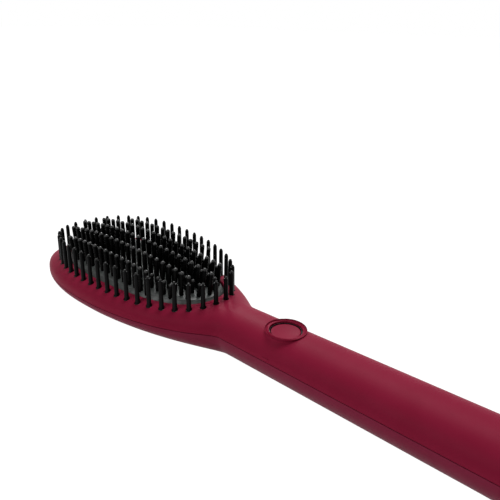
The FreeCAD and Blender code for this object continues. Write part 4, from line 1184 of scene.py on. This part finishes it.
def finishes():
    """Materials by the record's slots."""
    return {
        "plum_soft": soft_touch("plum_soft_touch", (0.215, 0.0085, 0.032), (0.235, 0.0105, 0.037), 0.46),
        # The rear casing's greyer plum is a painted reflection of the pale floor on a copy of the front's
        # finish.
        "plum_back": soft_touch("plum_back_painted_reflection", (0.195, 0.0160, 0.043), (0.215, 0.0190, 0.049), 0.46),
        "plate_grey": coated_plate("coated_plate_grey"),
        "pin_black": moulded("heated_pin_black", (0.0010, 0.0010, 0.0010), (0.0018, 0.0018, 0.0018), 0.2,
                             2.0, 0.05),
        "bristle_black": moulded("bristle_matt", (0.0035, 0.0036, 0.0037), (0.0050, 0.0052, 0.0053), 0.35,
                                 2.0, 0.06),
        # Near-black light ring: painted shade of the button well's inner wall.
        "smoked_ring": moulded("painted_shade_ring_lens", (0.010, 0.003, 0.005), (0.016, 0.004, 0.007), 0.3,
                               2.0, 0.08),
        "frame_ivory": moulded("frame_ivory_resin", (0.60, 0.55, 0.43), (0.68, 0.63, 0.51), 0.5),
        "stone_grey": moulded("heating_stone_grey", (0.13, 0.13, 0.14), (0.20, 0.20, 0.21), 0.75, 0.8, 0.2),
        "strip_metal": plated("electrode_strip", (0.62, 0.60, 0.55), (0.74, 0.72, 0.66), 0.32),
        "amber_film": lacquered("amber_film", (0.45, 0.20, 0.03), 0.25),
        "pad_red": moulded("pressure_pad_red", (0.34, 0.06, 0.04), (0.42, 0.08, 0.06), 0.6),
        "steel": plated("screw_steel", (0.42, 0.42, 0.43), (0.55, 0.55, 0.56), 0.3),
        "sensor_glass": lacquered("sensor_glass", (0.30, 0.16, 0.07), 0.12),
        "lead_red": moulded("lead_sleeve_red", (0.40, 0.03, 0.03), (0.48, 0.05, 0.04), 0.45),
        "lead_white": moulded("lead_sleeve_white", (0.66, 0.65, 0.62), (0.74, 0.73, 0.70), 0.45),
        "black_resin": moulded("chip_resin_black", (0.012, 0.012, 0.013), (0.022, 0.022, 0.023), 0.55),
        "white_resin": moulded("white_resin", (0.66, 0.66, 0.64), (0.74, 0.74, 0.72), 0.5),
        "lamp_clear": lacquered("lamp_clear", (0.75, 0.75, 0.70), 0.15),
        "board_green": moulded("board_lacquer_green", (0.015, 0.11, 0.05), (0.025, 0.15, 0.07), 0.35),
        "block_green": moulded("terminal_green", (0.03, 0.22, 0.09), (0.05, 0.28, 0.12), 0.45),
        "cap_yellow": moulded("film_capacitor_yellow", (0.55, 0.38, 0.05), (0.64, 0.46, 0.07), 0.4),
        "cap_can": plated("capacitor_can", (0.55, 0.56, 0.58), (0.68, 0.69, 0.71), 0.35),
        "gland_black": moulded("gland_rubber_black", (0.010, 0.010, 0.011), (0.016, 0.016, 0.017), 0.6),
    }


def tip_gloss():
    """Polished black of the pins' round tips."""
    return moulded("pin_tip_black", (0.0012, 0.0012, 0.0012), (0.002, 0.002, 0.002), 0.22, 1.0, 0.35)


def nub_gloss():
    """Glossier black of the bristles' feet and nubs."""
    return moulded("bristle_nub_black", (0.0015, 0.0015, 0.0015), (0.0025, 0.0025, 0.0025), 0.22, 1.0, 0.2)


# Stage


def seen_rays(tree):
    """1 where the stage is seen, straight or in gloss, and 0 where it only gives light."""
    path = tree.nodes.new("ShaderNodeLightPath").outputs
    return number_sum(tree, "MAXIMUM", path["Is Camera Ray"], path["Is Glossy Ray"])


def white_stage(name, light_strength):
    """World that lights the brush softly and shows as white."""
    world = bpy.data.worlds.new(name)
    world.use_nodes = True
    tree = world.node_tree
    seen = seen_rays(tree)
    shown = number_sum(tree, "ADD", number_sum(tree, "MULTIPLY", seen, 1.0 - light_strength), light_strength)
    set_inputs(tree, tree.nodes["Background"], Color=(1.0, 1.0, 1.0, 1.0), Strength=shown)
    bpy.context.scene.world = world


def pale_floor(reach):
    """Plain pale floor that keeps the brush's shadow."""
    mesh = bmesh.new()
    corners = ((-reach, -reach), (reach, -reach), (reach, reach), (-reach, reach))
    mesh.faces.new([mesh.verts.new((x, y, 0.0)) for x, y in corners])
    data = bpy.data.meshes.new("floor")
    mesh.to_mesh(data)
    mesh.free()
    made = add_object("floor", data)
    material, tree, shader = new_finish("floor_white")[:3]
    set_inputs(tree, shader, Base_Color=(0.9, 0.9, 0.9, 1.0), Roughness=0.9, Specular_IOR_Level=0.0)
    seen = seen_rays(tree)
    glow = add_node(tree, "ShaderNodeEmission", Color=(1.0, 1.0, 1.0, 1.0), Strength=FLOOR_GLOW).outputs[0]
    share = number_sum(tree, "MULTIPLY", seen, FLOOR_GLOW_SHARE)
    mixed = add_node(tree, "ShaderNodeMixShader", Fac=share)
    tree.links.new(shader.outputs[0], mixed.inputs[1])
    tree.links.new(glow, mixed.inputs[2])
    tree.links.new(mixed.outputs[0], tree.nodes["Material Output"].inputs["Surface"])
    data.materials.append(material)


def soft_lamp(name, spot, aim, size, watts):
    """Square soft lamp that faces a point."""
    lamp = bpy.data.lights.new(name, "AREA")
    lamp.size = size
    lamp.energy = watts
    made = add_object(name, lamp)
    made.location = spot
    made.rotation_euler = (Vector(aim) - Vector(spot)).to_track_quat("-Z", "Y").to_euler()


def photo_camera():
    """Camera at the photograph's viewing angle."""
    data = bpy.data.cameras.new("camera")
    data.sensor_width = 36.0
    data.lens = CAMERA_LENS
    data.clip_start = 0.01
    made = add_object("camera", data)
    made.location = CAMERA_SPOT
    sideways = Euler((0.0, 0.0, math.radians(CAMERA_TURN))).to_matrix()
    downward = Euler((math.radians(90.0 - CAMERA_TILT), 0.0, 0.0)).to_matrix()
    rolled = Euler((0.0, 0.0, math.radians(CAMERA_ROLL))).to_matrix()
    made.rotation_euler = (sideways @ downward @ rolled).to_euler()
    bpy.context.scene.camera = made


def ride_on(made, body, slot, *nodes):
    """Let a piece stand for CAD nodes and move with their body."""
    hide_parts(*nodes)
    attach(made, body)


def dress_frame(by_slot):
    """Give every CAD node the material of its slot."""
    for part in frame["record"]["subparts"]:
        node = frame["nodes"][part["node"]]
        node.data.materials.clear()
        node.data.materials.append(by_slot[part["material_slot"]])


def build_pieces(by_slot):
    """Make the pieces that stand for the CAD nodes in view."""
    ride_on(front_shell(by_slot["plum_soft"]), "casing", "plum_soft", "front_casing")
    ride_on(rear_shell(by_slot["plum_back"]), "casing", "plum_back", "rear_casing")
    ride_on(plate_cap(by_slot["plate_grey"]), "casing", "plate_grey", "heater_plate")
    pins = pin_tree(by_slot["pin_black"], tip_gloss())
    long = pin_object("pin_rows_long", pins, shift=0.0, radius=PIN_RADIUS, lower=0.0)
    ride_on(long, "casing", "pin_black", "long_pins")
    short = pin_object("pin_rows_short", pins, shift=0.5, radius=SHORT_PIN_RADIUS, lower=SHORT_PIN_DROP)
    ride_on(short, "casing", "pin_black", "short_pins")
    bristles = bristle_tree(by_slot["bristle_black"], nub_gloss())
    ride_on(bristle_object(bristles), "casing", "bristle_black", "cool_bristles")
    ride_on(screw_object(screw_tree(by_slot["steel"])), "casing", "steel", "case_screws")
    ride_on(button_disc(by_slot["plum_soft"]), "button", "plum_soft", "power_button")
    ride_on(ring_lens(by_slot["smoked_ring"]), "casing", "smoked_ring", "light_ring")
    ride_on(gland_sleeve(by_slot["gland_black"]), "gland", "gland_black", "swivel_gland")


def set_stage():
    """Floor, world, lamps and camera."""
    pale_floor(reach=6.0)
    white_stage("white_studio", light_strength=0.15)
    soft_lamp("overhead", spot=(-0.15, 0.45, 0.85), aim=(0.0, 0.0, 0.0), size=0.5, watts=6.6)
    soft_lamp("edge", spot=(-0.6, 0.5, 0.5), aim=(-0.02, 0.0, 0.02), size=0.16, watts=2.6)
    soft_lamp("front", spot=(-0.2, -0.75, 0.6), aim=(0.0, 0.0, 0.01), size=0.6, watts=3.0)
    photo_camera()
    bpy.context.scene.view_settings.view_transform = "Standard"


materials = finishes()
dress_frame(materials)
build_pieces(materials)
set_stage()
